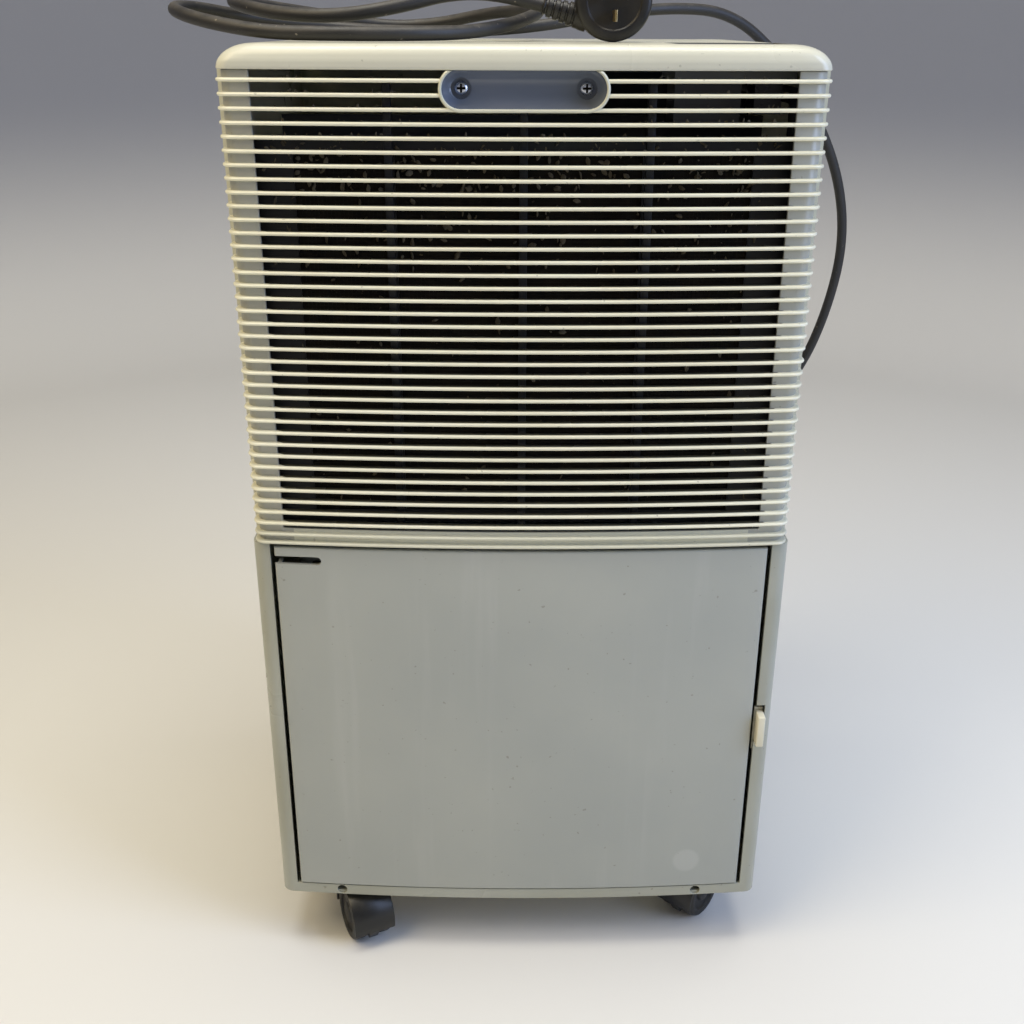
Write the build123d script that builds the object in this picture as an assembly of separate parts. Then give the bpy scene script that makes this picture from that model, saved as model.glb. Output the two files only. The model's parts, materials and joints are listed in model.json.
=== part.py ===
from build123d import *
from math import cos, pi, radians, sin, tan
import os

# A domestic dehumidifier on four castors: a slatted air intake fills the upper front, a water
# tank with a plain front panel slides out below it, and the mains lead lies coiled on the lid.
# Millimetres. +Z is up, the front faces -Y, and the origin is on the floor under the middle.

os.makedirs("parts", exist_ok=True)

# ---- Driving dimensions: the body ----
WIDTH = 340.0            # across the lower body
DEPTH = 296.0            # from the middle of the bowed front to the rear face
HEIGHT = 614.0           # floor to the flat top of the lid
FRONT_BULGE = 8.0        # how far the front bows forward between its corners
CORNER_RADIUS = 8.0      # upright corners of the body
BODY_BASE = 46.5         # floor to the underside of the body
WALL = 2.5               # moulded walls
SEAM = 0.3               # gap between mouldings that meet
RUNNING = 0.05           # radial clearance of anything that turns on a pin
SLIDING = 0.4            # clearance of anything that slides
FRONT_PARTING = 28.0     # from the front to the seam between front mouldings and cabinet

# ---- Driving dimensions: the lid and its control pocket ----
LID_BAND = 13.0          # height of the lid's edge
LID_SIDE_INSET = 2.6
LID_FRONT_INSET = 0.5
LID_ROUND = 6.0
PANEL_FROM_SIDE = 52.0   # body's right side to the middle of the control pocket
PANEL_FROM_FRONT = 60.0
PANEL_WIDTH = 68.0
PANEL_LENGTH = 60.0
PANEL_DEPTH = 17.0       # the pocket's floor lies this far below the lid
PANEL_WALL = 2.0
KNOB_RADIUS = 17.0
KNOB_HEIGHT = 14.0
KNOB_OFFSET = -13.0      # knob's axis from the middle of the pocket, in X
SPINDLE_RADIUS = 3.0
SWITCH_OFFSET = 20.0     # rocker switch from the middle of the pocket, in X
ROCKER_LENGTH = 22.0
ROCKER_WIDTH = 13.0
ROCKER_TILT = 10.0       # degrees each side of level
LAMP_RADIUS = 3.0

# ---- Driving dimensions: the intake grille ----
SLAT_PITCH = 7.43
SLAT_THICK = 2.4
SLAT_DEPTH = 9.0
SLAT_SIDE_INSET = 2.0
SLAT_RETURN = 12.0       # how far each slat runs back round the corner
TOP_SLAT_DROP = 5.3      # lid's lower edge to the middle of the first slat
LAST_SLAT_RISE = 14.3    # grille's lower edge to the middle of the last slat
STILE_SIDE_INSET = 4.5
STILE_FRONT_INSET = 3.0
STILE_WIDTH = 21.0       # body's side to the edge of the intake
RAIL_LIP_RISE = 7.0      # grille's lower edge to the middle of the upper lip
RIB_PLACES = (-75.0, 0.0, 70.0)
RIB_WIDTH = 4.5
RIB_DEPTH = 5.0
SCOOP_WIDTH = 92.6       # the oval recess under the lid
SCOOP_HEIGHT = 24.0
SCOOP_RIM = 2.2
SCOOP_DEPTH = 13.0
SCOOP_DROP = 9.5         # lid's lower edge to the middle of the oval
SCREW_SPACING = 68.6
SCREW_HEAD_RADIUS = 3.8
SCREW_HEAD_HEIGHT = 2.6
SCREW_SHANK_RADIUS = 1.7
SCREW_SHANK_LENGTH = 9.0
CUP_RADIUS = 5.6
CUP_DEPTH = 2.0

# ---- Driving dimensions: the lower front and the tank ----
RIM_HEIGHT = 8.0         # the front frame's lower bar
FRAME_FRONT_INSET = 3.0
PANEL_FRONT_INSET = 2.0
FRAME_STILE = 11.2       # body's side to the edge of the tank's opening
TANK_FRONT_HEIGHT = 263.6
TANK_FRONT_THICK = 3.0
TANK_FRONT_FLANGE = 8.0
SIDE_GAP = 2.8           # each side of the tank's front panel
LEVEL_GAP = 0.8          # below the tank's front panel
TOP_GAP = 2.6            # above the tank's front panel
NOTCH_LENGTH = 29.8
NOTCH_HEIGHT = 5.6
NOTCH_DROP = 8.7         # panel's top edge to the middle of the notch
RIM_SCREW_FROM_SIDE = 43.5
RIM_SCREW_RADIUS = 3.5
RIM_SCREW_SINK = 5.0     # the screws' seats lie this far in front of the parting
TANK_SIDE_MARGIN = 8.0   # tank's side from the edge of its front panel
TANK_DEPTH = 122.0       # behind the front panel
TANK_HEIGHT = 190.0
TANK_WALL = 2.0
RUNNER_WIDTH = 8.0
HANDLE_REACH = 48.0      # pivot to grip bar, lying back
HANDLE_RISE = 14.0
HANDLE_PIVOT_DROP = 9.0  # tank's rim to the pivot
HANDLE_BAR_RADIUS = 4.0
HANDLE_ARM = 3.0
PIVOT_RADIUS = 3.0
FLOAT_ARM = 62.0
FLOAT_SIZE = (44.0, 36.0, 22.0)
FLOAT_PIN_RADIUS = 2.0
FLOAT_DROOP = 18.0       # degrees the arm hangs below level in an empty tank
LATCH_WIDTH = 5.0
LATCH_HEIGHT = 23.0
LATCH_PROUD = 8.0
LATCH_LEVEL = 174.5      # lower end of the latch tab
LATCH_TRAVEL = 5.0

# ---- Driving dimensions: refrigeration and air parts ----
COIL_SIDE_MARGIN = 45.0  # body's side to the coils' end plates
COIL_DEPTH = 24.0
COIL_BEND_REACH = 18.0   # how far the tube's bends stand out beyond the fins
COIL_PASS_PITCH = 32.0
COIL_RISE = 12.5         # coils' lower edge above the grille's
COIL_HEADROOM = 40.0     # least room between the coils and the lid
TUBE_RADIUS = 4.8
FIN_PITCH = 6.25
FIN_THICK = 0.6
END_PLATE_THICK = 1.6
EVAPORATOR_SETBACK = 44.0  # front to the middle of the cold coil
CONDENSER_SETBACK = 78.0   # front to the middle of the hot coil
FILTER_SETBACK = 22.0
FILTER_THICK = 5.0
FILTER_BORDER = 8.0
FILTER_SIDE_BORDER = 22.0
FILTER_RISE = 10.0       # filter's lower edge above the grille's
FILTER_DROP = 36.0       # filter's upper edge below the grille's
FILTER_OVERLAP = 3.0     # how far the filter reaches behind each stile
MESH_THICK = 0.8
MESH_GROOVE = 2.0        # how far the mesh is let into its frame
SHROUD_SETBACK = 100.0
SHROUD_THICK = 2.0
SHROUD_LIP = 14.0
FAN_RADIUS = 102.0
FAN_TIP_GAP = 4.0
FAN_HUB_RADIUS = 30.0
FAN_BLADES = 5
FAN_CHORD = 44.0
FAN_THICK = 2.6
FAN_PITCH_ANGLE = 32.0
FAN_LENGTH = 26.0
SHAFT_RADIUS = 4.0
MOTOR_RADIUS = 42.0
MOTOR_LENGTH = 46.0
COMPRESSOR_RADIUS = 54.0
COMPRESSOR_HEIGHT = 165.0
COMPRESSOR_FROM_SIDE = 100.0  # body's left side to the compressor's axis
PIPE_OFFSET = 14.0       # pipes beside the coils, beyond the tubes' ends
DRIER_RADIUS = 7.0
DRIER_LENGTH = 40.0
PARTITION_RISE = 42.0    # the partition's top above the tank's
MOUNT_RADIUS = 9.0
MOUNT_HEIGHT = 12.0
MOUNT_CIRCLE = 62.0
TANK_TO_PARTITION = 4.0
PARTITION_THICK = 1.2
OUTLET_SIDE_MARGIN = 58.0
OUTLET_HEIGHT = 172.0
OUTLET_FRAME = 4.0
OUTLET_THICK = 8.0
LOUVRE_PITCH = 11.0
LOUVRE_THICK = 2.0
LOUVRE_TILT = 20.0
BOX_SIZE = (100.0, 42.0, 47.0)   # the electrical box
BOX_FROM_SIDE = 26.0
BOX_FROM_REAR = 10.0
BOX_DROP = 9.0                   # below the lid's lower edge
BOX_SEAM_DROP = 7.0              # the box's lid line below its top
CAPACITOR_RADIUS = 18.0
CAPACITOR_HEIGHT = 74.0
CAPACITOR_X = 70.0
TAB_WIDTH = 6.0                  # the capacitor's terminals
TAB_THICK = 0.8
TAB_HEIGHT = 11.0
SWITCH_FROM_SIDE = 70.0          # body's left side to the middle of the tank switch
SWITCH_SIZE = (22.0, 14.0, 30.0)
SWITCH_BASE = 141.0
LEAF_WIDTH = 12.0
LEAF_LENGTH = 24.0
LEAF_THICK = 1.0
LEAF_GAP = 3.2                   # the leaf's front ahead of the partition

# ---- Driving dimensions: the castors ----
CASTOR_FROM_SIDE = 50.0
CASTOR_FROM_END = 38.0
CASTOR_TRAIL = 16.0
WHEEL_RADIUS = 20.0
WHEEL_THICK = 11.0
CASTOR_WEB = 7.0
HOOD_GAP = 1.4
HOOD_THICK = 2.0
AXLE_RADIUS = 2.5
STEM_RADIUS = 4.0
STEM_HEIGHT = 13.0
SOCKET_WALL = 4.0
COLLAR_RADIUS = 13.0
COLLAR_HEIGHT = 6.0
NECK_RADIUS = 9.0
NECK_HEIGHT = 20.0
# which way each castor trails, in degrees from straight forward
CASTORS = {"front_left": (-1, -1, 25.0), "front_right": (1, -1, 140.0),
           "rear_left": (-1, 1, 205.0), "rear_right": (1, 1, 160.0)}

# ---- Driving dimensions: the mains lead ----
LEAD_RADIUS = 4.0
GLAND_X = 110.0
GLAND_Z = 190.0
GLAND_LENGTH = 30.0
GLAND_ROOT_RADIUS = 8.5
GLAND_TIP_RADIUS = 5.6
GLAND_FLANGE = 3.0
GLAND_GROOVES = 4
GLAND_GROOVE_PITCH = 5.4
GLAND_GROOVE_WIDTH = 1.6
PLUG_X = 54.0
PLUG_Y = -46.0
PLUG_RADIUS = 23.0
PLUG_THICK = 20.0
PLUG_EXIT_DROP = 9.0     # the lead leaves the plug this far below its middle
PLUG_RELIEF = 24.0
PLUG_EXIT_RISE = 15.0    # degrees the lead rises as it leaves the plug
PIN_LENGTH = 17.0

# ---- Places worked out from the dimensions ----
FRONT = -DEPTH / 2
REAR = DEPTH / 2
SIDE = WIDTH / 2
PANEL_X = SIDE - PANEL_FROM_SIDE
PANEL_Y = FRONT + PANEL_FROM_FRONT
INTAKE_HALF = SIDE - STILE_WIDTH
FRAME_OPENING = SIDE - FRAME_STILE
TANK_FRONT_HALF = FRAME_OPENING - SIDE_GAP
TANK_HALF = TANK_FRONT_HALF - TANK_SIDE_MARGIN
RIM_SCREW_X = SIDE - RIM_SCREW_FROM_SIDE
COIL_HALF = SIDE - COIL_SIDE_MARGIN
EVAPORATOR_Y = FRONT + EVAPORATOR_SETBACK
CONDENSER_Y = FRONT + CONDENSER_SETBACK
FILTER_FRONT = FRONT + FILTER_SETBACK
SHROUD_Y = FRONT + SHROUD_SETBACK
OUTLET_HALF = SIDE - OUTLET_SIDE_MARGIN
CASTOR_X = SIDE - CASTOR_FROM_SIDE
CASTOR_Y = REAR - CASTOR_FROM_END
PARTING = FRONT + FRONT_PARTING
LID_UNDER = HEIGHT - LID_BAND
PANEL_BOTTOM = BODY_BASE + RIM_HEIGHT + LEVEL_GAP
PANEL_TOP = PANEL_BOTTOM + TANK_FRONT_HEIGHT
GRILLE_BOTTOM = PANEL_TOP + TOP_GAP
GRILLE_TOP = LID_UNDER - SEAM
FIRST_SLAT = LID_UNDER - TOP_SLAT_DROP
LAST_SLAT = GRILLE_BOTTOM + LAST_SLAT_RISE
SLAT_GAPS = round((FIRST_SLAT - LAST_SLAT) / SLAT_PITCH)
SLAT_STEP = (FIRST_SLAT - LAST_SLAT) / SLAT_GAPS
SLAT_HEIGHTS = [FIRST_SLAT - i * SLAT_STEP for i in range(SLAT_GAPS + 1)]
SCOOP_Z = LID_UNDER - SCOOP_DROP
SCOOP_BACK = FRONT + SCOOP_DEPTH
RIM_SCREW_SEAT = PARTING - RIM_SCREW_SINK
STEM_TOP = BODY_BASE + STEM_HEIGHT + 1.0
TANK_BOTTOM = STEM_TOP + SLIDING
TANK_TOP = TANK_BOTTOM + TANK_HEIGHT
TANK_FRONT_Y = FRONT + PANEL_FRONT_INSET + TANK_FRONT_THICK
TANK_BACK = TANK_FRONT_Y + TANK_DEPTH
PARTITION_Y = TANK_BACK + TANK_TO_PARTITION
PARTITION_TOP = TANK_TOP + PARTITION_RISE
COMPRESSOR_X = COMPRESSOR_FROM_SIDE - SIDE
COMPRESSOR_Y = (PARTITION_Y + PARTITION_THICK + REAR - WALL) / 2
HANDLE_Y = TANK_BACK - TANK_DEPTH / 2
HANDLE_Z = TANK_TOP - HANDLE_PIVOT_DROP
HANDLE_SIDE = TANK_HALF + SLIDING
COIL_BASE = GRILLE_BOTTOM + COIL_RISE
PASSES_THAT_FIT = int((LID_UNDER - COIL_HEADROOM - COIL_BASE) / COIL_PASS_PITCH)
COIL_PASSES = PASSES_THAT_FIT - 1 + PASSES_THAT_FIT % 2  # an odd number, so that the ends are apart
COIL_TOP = COIL_BASE + COIL_PASSES * COIL_PASS_PITCH
FAN_Z = (COIL_BASE + COIL_TOP) / 2
FAN_Y = SHROUD_Y + SHROUD_THICK + 4.0
MOTOR_Y = FAN_Y + FAN_LENGTH + 6.0
BRACKET_Y = MOTOR_Y + MOTOR_LENGTH
BASE_FLOOR = BODY_BASE + WALL
PANEL_FLOOR = HEIGHT - PANEL_DEPTH
KNOB_X = PANEL_X + KNOB_OFFSET
SWITCH_X = PANEL_X + SWITCH_OFFSET
ROCKER_Y = PANEL_Y - 12.0
LAMP_Y = PANEL_Y + 16.0
PLUG_Z = HEIGHT + PLUG_RADIUS
PLUG_EXIT = Vector(PLUG_X - PLUG_RADIUS + 4, PLUG_Y, PLUG_Z - PLUG_EXIT_DROP)
PLUG_EXIT_WAY = Vector(-cos(radians(PLUG_EXIT_RISE)), 0, sin(radians(PLUG_EXIT_RISE)))
LEAD_END = PLUG_EXIT + PLUG_EXIT_WAY * PLUG_RELIEF


# ---- Shapes used more than once ----
def block(x0, x1, y0, y1, z0, z1):
    size = (x1 - x0, y1 - y0, z1 - z0)
    return Pos((x0 + x1) / 2, (y0 + y1) / 2, (z0 + z1) / 2) * Box(*size)


def rod(radius, length, start, axis):
    """A cylinder that starts at a point and runs along an axis."""
    align = (Align.CENTER, Align.CENTER, Align.MIN)
    return Plane(origin=start, z_dir=axis) * Cylinder(radius, length, align=align)


def cone(root, tip, length, start, axis):
    align = (Align.CENTER, Align.CENTER, Align.MIN)
    return Plane(origin=start, z_dir=axis) * Cone(root, tip, length, align=align)


def footprint(side_inset, front_inset, rear_inset=0.0, radius=CORNER_RADIUS):
    """The body's plan: a bowed front, straight sides and a straight rear."""
    half = SIDE - side_inset
    back = REAR - rear_inset
    corner = FRONT + FRONT_BULGE + front_inset
    bow = ThreePointArc((-half, corner), (0, FRONT + front_inset), (half, corner))
    rest = Polyline((half, corner), (half, back), (-half, back), (-half, corner))
    face = make_face([*bow.edges(), *rest.edges()])
    return fillet(face.vertices(), radius)


def prism(face, z0, z1):
    return extrude(Pos(0, 0, z0) * face, z1 - z0)


def plan_ring(side_inset, front_inset, thick, z0, z1):
    """An upright band of wall that follows the plan."""
    inner_radius = max(CORNER_RADIUS - thick, 0.5)
    outer = footprint(side_inset, front_inset)
    inner = footprint(side_inset + thick, front_inset + thick, thick, inner_radius)
    return prism(outer, z0, z1) - prism(inner, z0, z1)


def bowed_slab(half, front_inset, thick, z0, z1):
    """A panel as wide as 2 x half that follows the bow of the front."""
    outer = prism(footprint(0, front_inset), z0, z1)
    inner = prism(footprint(0, front_inset + thick), z0, z1)
    reach = FRONT + FRONT_BULGE + front_inset + thick + 1
    return (outer - inner) & block(-half, half, FRONT - 1, reach, z0, z1)


def stadium(width, height, y0, y1, z):
    """A prism along Y with a stadium outline about the X=0 plane."""
    plane = Plane(origin=(0, y1, z), x_dir=(1, 0, 0), z_dir=(0, -1, 0))
    return extrude(plane * SlotOverall(width, height), y1 - y0)


def pipe(points, radius, bend):
    path = FilletPolyline(*points, radius=bend)
    start = Plane(origin=path @ 0, z_dir=path % 0)
    return sweep(start * Circle(radius), path=path)


def write(node, shape):
    solids = shape.solids()
    whole = solids[0] if len(solids) == 1 else Compound(children=list(solids))
    export_step(whole, f"parts/{node}.step")


# ---- Outer mouldings ----
def make_cabinet():
    """Sides and rear in one piece, open at the front, top and bottom."""
    shell = plan_ring(0, 0, WALL, BODY_BASE, LID_UNDER - SEAM)
    shell -= block(-WIDTH, WIDTH, FRONT - 1, PARTING, 0, HEIGHT)
    outlet = block(-OUTLET_HALF, OUTLET_HALF, REAR - 10, REAR + 10,
                   FAN_Z - OUTLET_HEIGHT / 2, FAN_Z + OUTLET_HEIGHT / 2)
    gland_hole = rod(GLAND_ROOT_RADIUS, 20, (GLAND_X, REAR - 10, GLAND_Z), (0, 1, 0))
    return shell - outlet - gland_hole


def make_lid():
    """A shallow cap with a rounded edge and an opening for the control pocket."""
    outline = footprint(LID_SIDE_INSET, LID_FRONT_INSET)
    lid = prism(outline, LID_UNDER, HEIGHT)
    lid = fillet(lid.faces().sort_by(Axis.Z)[-1].edges(), LID_ROUND)
    hollow = footprint(LID_SIDE_INSET + WALL, LID_FRONT_INSET + WALL, WALL,
                       CORNER_RADIUS - WALL)
    lid -= prism(hollow, LID_UNDER, HEIGHT - WALL)
    half_x = PANEL_WIDTH / 2 + SEAM
    half_y = PANEL_LENGTH / 2 + SEAM
    return lid - block(PANEL_X - half_x, PANEL_X + half_x, PANEL_Y - half_y, PANEL_Y + half_y,
                       LID_UNDER, HEIGHT + 1)


def make_grille():
    """Slats, stiles, rails and the oval recess, moulded in one piece."""
    band = plan_ring(STILE_SIDE_INSET, STILE_FRONT_INSET, WALL, GRILLE_BOTTOM, GRILLE_TOP)
    band -= block(-INTAKE_HALF, INTAKE_HALF, FRONT - 1, PARTING, LAST_SLAT - SLAT_STEP / 2,
                  FIRST_SLAT)
    band -= block(-WIDTH, WIDTH, PARTING - SEAM, REAR + 1, 0, HEIGHT)
    outer = footprint(SLAT_SIDE_INSET, 0)
    inner = footprint(SLAT_SIDE_INSET + SLAT_DEPTH, SLAT_DEPTH, 0, 1.0)
    slat_plan = outer - inner
    slat_end = FRONT + FRONT_BULGE + SLAT_RETURN
    slat_plan -= Pos(0, slat_end + DEPTH / 2) * Rectangle(2 * WIDTH, DEPTH)
    lips = [GRILLE_BOTTOM + RAIL_LIP_RISE, GRILLE_BOTTOM + SLAT_THICK / 2]
    bars = [prism(slat_plan, z - SLAT_THICK / 2, z + SLAT_THICK / 2)
            for z in SLAT_HEIGHTS + lips]
    ribs = [block(x - RIB_WIDTH / 2, x + RIB_WIDTH / 2, FRONT + SLAT_DEPTH - 1,
                  FRONT + SLAT_DEPTH + RIB_DEPTH, GRILLE_BOTTOM, GRILLE_TOP)
            for x in RIB_PLACES]
    grille = band.fuse(*bars, *ribs)
    grille -= stadium(SCOOP_WIDTH, SCOOP_HEIGHT, FRONT - 1, SCOOP_BACK + 6, SCOOP_Z)
    return grille.fuse(make_scoop())


def make_scoop():
    """The oval cup between the top slats, cut off level with the lid's lower edge."""
    cup = stadium(SCOOP_WIDTH, SCOOP_HEIGHT, FRONT, SCOOP_BACK + 4, SCOOP_Z)
    inner_width = SCOOP_WIDTH - 2 * SCOOP_RIM
    inner_height = SCOOP_HEIGHT - 2 * SCOOP_RIM
    hollow = stadium(inner_width, inner_height, FRONT - 1, SCOOP_BACK, SCOOP_Z)
    back_edges = hollow.faces().sort_by(Axis.Y)[-1].edges()
    cup -= fillet(back_edges, inner_height / 2 - 2.5)
    for side in (-1, 1):
        centre = (side * SCREW_SPACING / 2, FRONT, SCOOP_Z)
        seat = SCOOP_DEPTH + CUP_DEPTH
        cup -= rod(CUP_RADIUS, seat, centre, (0, 1, 0))
        cup -= rod(SCREW_SHANK_RADIUS, seat + 10, centre, (0, 1, 0))
    return cup - block(-WIDTH, WIDTH, FRONT - 5, REAR, GRILLE_TOP, HEIGHT)


def make_grille_screws():
    """Two cross-head screws that hold the grille, seated in the oval recess."""
    screws = []
    for side in (-1, 1):
        seat = (side * SCREW_SPACING / 2, SCOOP_BACK + CUP_DEPTH, SCOOP_Z)
        screws.append(make_screw(seat, (0, -1, 0), SCREW_HEAD_RADIUS))
    return Compound(children=screws)


def make_screw(seat, outward, head_radius):
    """A pan-head screw: head above the seat, shank below it, with a cross in the head."""
    plane = Plane(origin=seat, z_dir=outward)
    head = rod(head_radius, SCREW_HEAD_HEIGHT, (0, 0, 0), (0, 0, 1))
    head = fillet(head.faces().sort_by(Axis.Z)[-1].edges(), SCREW_HEAD_HEIGHT / 2)
    shank = rod(SCREW_SHANK_RADIUS, SCREW_SHANK_LENGTH, (0, 0, 0.0), (0, 0, -1))
    arm = head_radius * 0.6
    slot = block(-arm, arm, -0.5, 0.5, 1.2, 5) + block(-0.5, 0.5, -arm, arm, 1.2, 5)
    return (plane * (head + shank - slot)).solid()


def make_front_frame():
    """The surround of the tank's opening: two stiles and a lower bar."""
    band = plan_ring(0, FRAME_FRONT_INSET, WALL, BODY_BASE, GRILLE_BOTTOM - SEAM)
    band -= block(-WIDTH, WIDTH, PARTING - SEAM, REAR + 1, 0, HEIGHT)
    opening = block(-FRAME_OPENING, FRAME_OPENING, FRONT - 1, PARTING,
                    BODY_BASE + RIM_HEIGHT, HEIGHT)
    shelf_plan = footprint(WALL / 2, FRAME_FRONT_INSET + WALL / 2, 0, CORNER_RADIUS - WALL / 2)
    shelf = prism(shelf_plan, BODY_BASE, BODY_BASE + WALL)
    shelf -= block(-WIDTH, WIDTH, PARTING - SEAM, REAR + 1, 0, HEIGHT)
    frame = band - opening + shelf
    wall_back = FRONT + FRONT_BULGE + FRAME_FRONT_INSET
    for side in (-1, 1):
        x, z = side * RIM_SCREW_X, BODY_BASE + RIM_HEIGHT / 2
        boss_length = PARTING - SEAM - wall_back
        frame += rod(RIM_HEIGHT / 2, boss_length, (x, wall_back, z), (0, 1, 0))
        frame -= rod(RIM_SCREW_RADIUS, RIM_SCREW_SEAT - FRONT, (x, FRONT, z), (0, 1, 0))
        frame -= rod(SCREW_SHANK_RADIUS + RUNNING, 30, (x, FRONT, z), (0, 1, 0))
    slot_x0 = FRAME_OPENING - 1
    slot_x1 = FRAME_OPENING + LATCH_WIDTH + 2 * SLIDING
    slot_top = LATCH_LEVEL + LATCH_HEIGHT + LATCH_TRAVEL + SLIDING
    slot = block(slot_x0, slot_x1, FRONT - 1, PARTING - 6, LATCH_LEVEL - SLIDING, slot_top)
    return frame - slot


def make_frame_screws():
    """Two dark screws deep in the holes of the lower bar."""
    screws = []
    for side in (-1, 1):
        seat = (side * RIM_SCREW_X, RIM_SCREW_SEAT, BODY_BASE + RIM_HEIGHT / 2)
        screws.append(make_screw(seat, (0, -1, 0), RIM_SCREW_RADIUS - 0.3))
    return Compound(children=screws)


def make_base_pan():
    """The floor of the machine, with castor sockets and two runners for the tank."""
    inset = WALL + SEAM
    rear_plan = footprint(inset, inset, inset, CORNER_RADIUS - WALL)
    pan = prism(rear_plan, BODY_BASE, BASE_FLOOR)
    lip_inner = footprint(inset + WALL, inset + WALL, inset + WALL, CORNER_RADIUS - 2 * WALL)
    lip_top = BASE_FLOOR + 14
    pan += prism(rear_plan, BODY_BASE, lip_top) - prism(lip_inner, BODY_BASE, lip_top)
    pan -= block(-WIDTH, WIDTH, FRONT - 1, PARTING, 0, HEIGHT)
    runner_top = TANK_BOTTOM - SLIDING
    for side in (-1, 1):
        x = side * TANK_HALF * 2 / 3
        pan += block(x - RUNNER_WIDTH / 2, x + RUNNER_WIDTH / 2, PARTING, TANK_BACK, BASE_FLOOR,
                     runner_top)
    for x, y in castor_places():
        front_tongue = y < 0
        if front_tongue:
            pan += block(x - 16, x + 16, PARTING, y + 16, BODY_BASE, BASE_FLOOR)
        socket_height = STEM_TOP - BASE_FLOOR
        pan += rod(STEM_RADIUS + SOCKET_WALL, socket_height, (x, y, BASE_FLOOR), (0, 0, 1))
    for side in (-1, 1):
        x = side * RIM_SCREW_X
        pan += block(x - 4, x + 4, PARTING, PARTING + 8, BASE_FLOOR - 1, BASE_FLOOR + 6)
        screw = (x, PARTING - 1, BODY_BASE + RIM_HEIGHT / 2)
        pan -= rod(SCREW_SHANK_RADIUS + RUNNING, 9, screw, (0, 1, 0))
    for x, y in castor_places():
        pan -= rod(STEM_RADIUS + RUNNING, STEM_HEIGHT + RUNNING, (x, y, BODY_BASE), (0, 0, 1))
    return pan


def castor_places():
    return [(sx * CASTOR_X, sy * CASTOR_Y) for sx, sy, _ in CASTORS.values()]


# ---- Controls in the lid ----
def make_control_panel():
    """A tray sunk in the lid, so that the controls stay below its surface."""
    x0, x1 = PANEL_X - PANEL_WIDTH / 2, PANEL_X + PANEL_WIDTH / 2
    y0, y1 = PANEL_Y - PANEL_LENGTH / 2, PANEL_Y + PANEL_LENGTH / 2
    tray = block(x0, x1, y0, y1, PANEL_FLOOR - PANEL_WALL, HEIGHT)
    tray -= block(x0 + PANEL_WALL, x1 - PANEL_WALL, y0 + PANEL_WALL, y1 - PANEL_WALL,
                  PANEL_FLOOR, HEIGHT + 1)
    tray -= rod(SPINDLE_RADIUS + 1, 10, (KNOB_X, PANEL_Y, PANEL_FLOOR + 1), (0, 0, -1))
    half_x, half_y = ROCKER_WIDTH / 2 + 1.5, ROCKER_LENGTH / 2 + 1.5
    tray -= block(SWITCH_X - half_x, SWITCH_X + half_x, ROCKER_Y - half_y, ROCKER_Y + half_y,
                  PANEL_FLOOR - 5, PANEL_FLOOR + 1)
    return tray - rod(LAMP_RADIUS, 10, (SWITCH_X, LAMP_Y, PANEL_FLOOR + 1), (0, 0, -1))


def make_knob():
    """A round knob with finger flats, a pointer ridge and the humidistat's spindle."""
    base_z = PANEL_FLOOR + SLIDING
    knob = rod(KNOB_RADIUS, KNOB_HEIGHT, (KNOB_X, PANEL_Y, base_z), (0, 0, 1))
    knob = fillet(knob.faces().sort_by(Axis.Z)[-1].edges(), 1.5)
    for side in (-1, 1):
        grip = KNOB_X + side * (KNOB_RADIUS / 2 + 4)
        knob -= block(grip - KNOB_RADIUS / 2, grip + KNOB_RADIUS / 2, PANEL_Y - KNOB_RADIUS,
                      PANEL_Y + KNOB_RADIUS, base_z + 5, HEIGHT + 1)
    spindle = rod(SPINDLE_RADIUS, 16, (KNOB_X, PANEL_Y, base_z + 1), (0, 0, -1))
    return knob + spindle


def make_humidistat():
    """The humidity switch under the pocket, with a bearing for the knob's spindle."""
    top = PANEL_FLOOR - PANEL_WALL - SEAM
    body = block(KNOB_X - 19, KNOB_X + 19, PANEL_Y - 17, PANEL_Y + 17, top - 24, top)
    return body - rod(SPINDLE_RADIUS + RUNNING, 15, (KNOB_X, PANEL_Y, top + 1), (0, 0, -1))


def make_switch_body():
    """The rocker switch's housing, let into the pocket's floor."""
    half_x, half_y = ROCKER_WIDTH / 2, ROCKER_LENGTH / 2
    body = block(SWITCH_X - half_x - 1.2, SWITCH_X + half_x + 1.2, ROCKER_Y - half_y - 1.2,
                 ROCKER_Y + half_y + 1.2, PANEL_FLOOR - 20, PANEL_FLOOR + 1)
    body -= block(SWITCH_X - half_x - SLIDING, SWITCH_X + half_x + SLIDING,
                  ROCKER_Y - half_y - SLIDING, ROCKER_Y + half_y + SLIDING,
                  PANEL_FLOOR - 8, PANEL_FLOOR + 2)
    return body


def make_rocker():
    """The rocker in its off position, tilted about its own level axis."""
    plan = Pos(0, 0, 0) * Rectangle(ROCKER_LENGTH - 1.0, 7.0)
    key = extrude(Plane.YZ * plan, ROCKER_WIDTH / 2, both=True)
    dish = rod(40, ROCKER_WIDTH + 2, (-ROCKER_WIDTH / 2 - 1, 0, 42.3), (1, 0, 0))
    key -= dish
    axis_z = PANEL_FLOOR - 1.0
    return Pos(SWITCH_X, ROCKER_Y, axis_z) * Rot(-ROCKER_TILT, 0, 0) * Pos(0, 0, 1.5) * key


def make_lamp():
    """The small round lens of the running lamp."""
    lens = rod(LAMP_RADIUS - RUNNING, 5, (SWITCH_X, LAMP_Y, PANEL_FLOOR - 4), (0, 0, 1))
    return fillet(lens.faces().sort_by(Axis.Z)[-1].edges(), 1.2)


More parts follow.
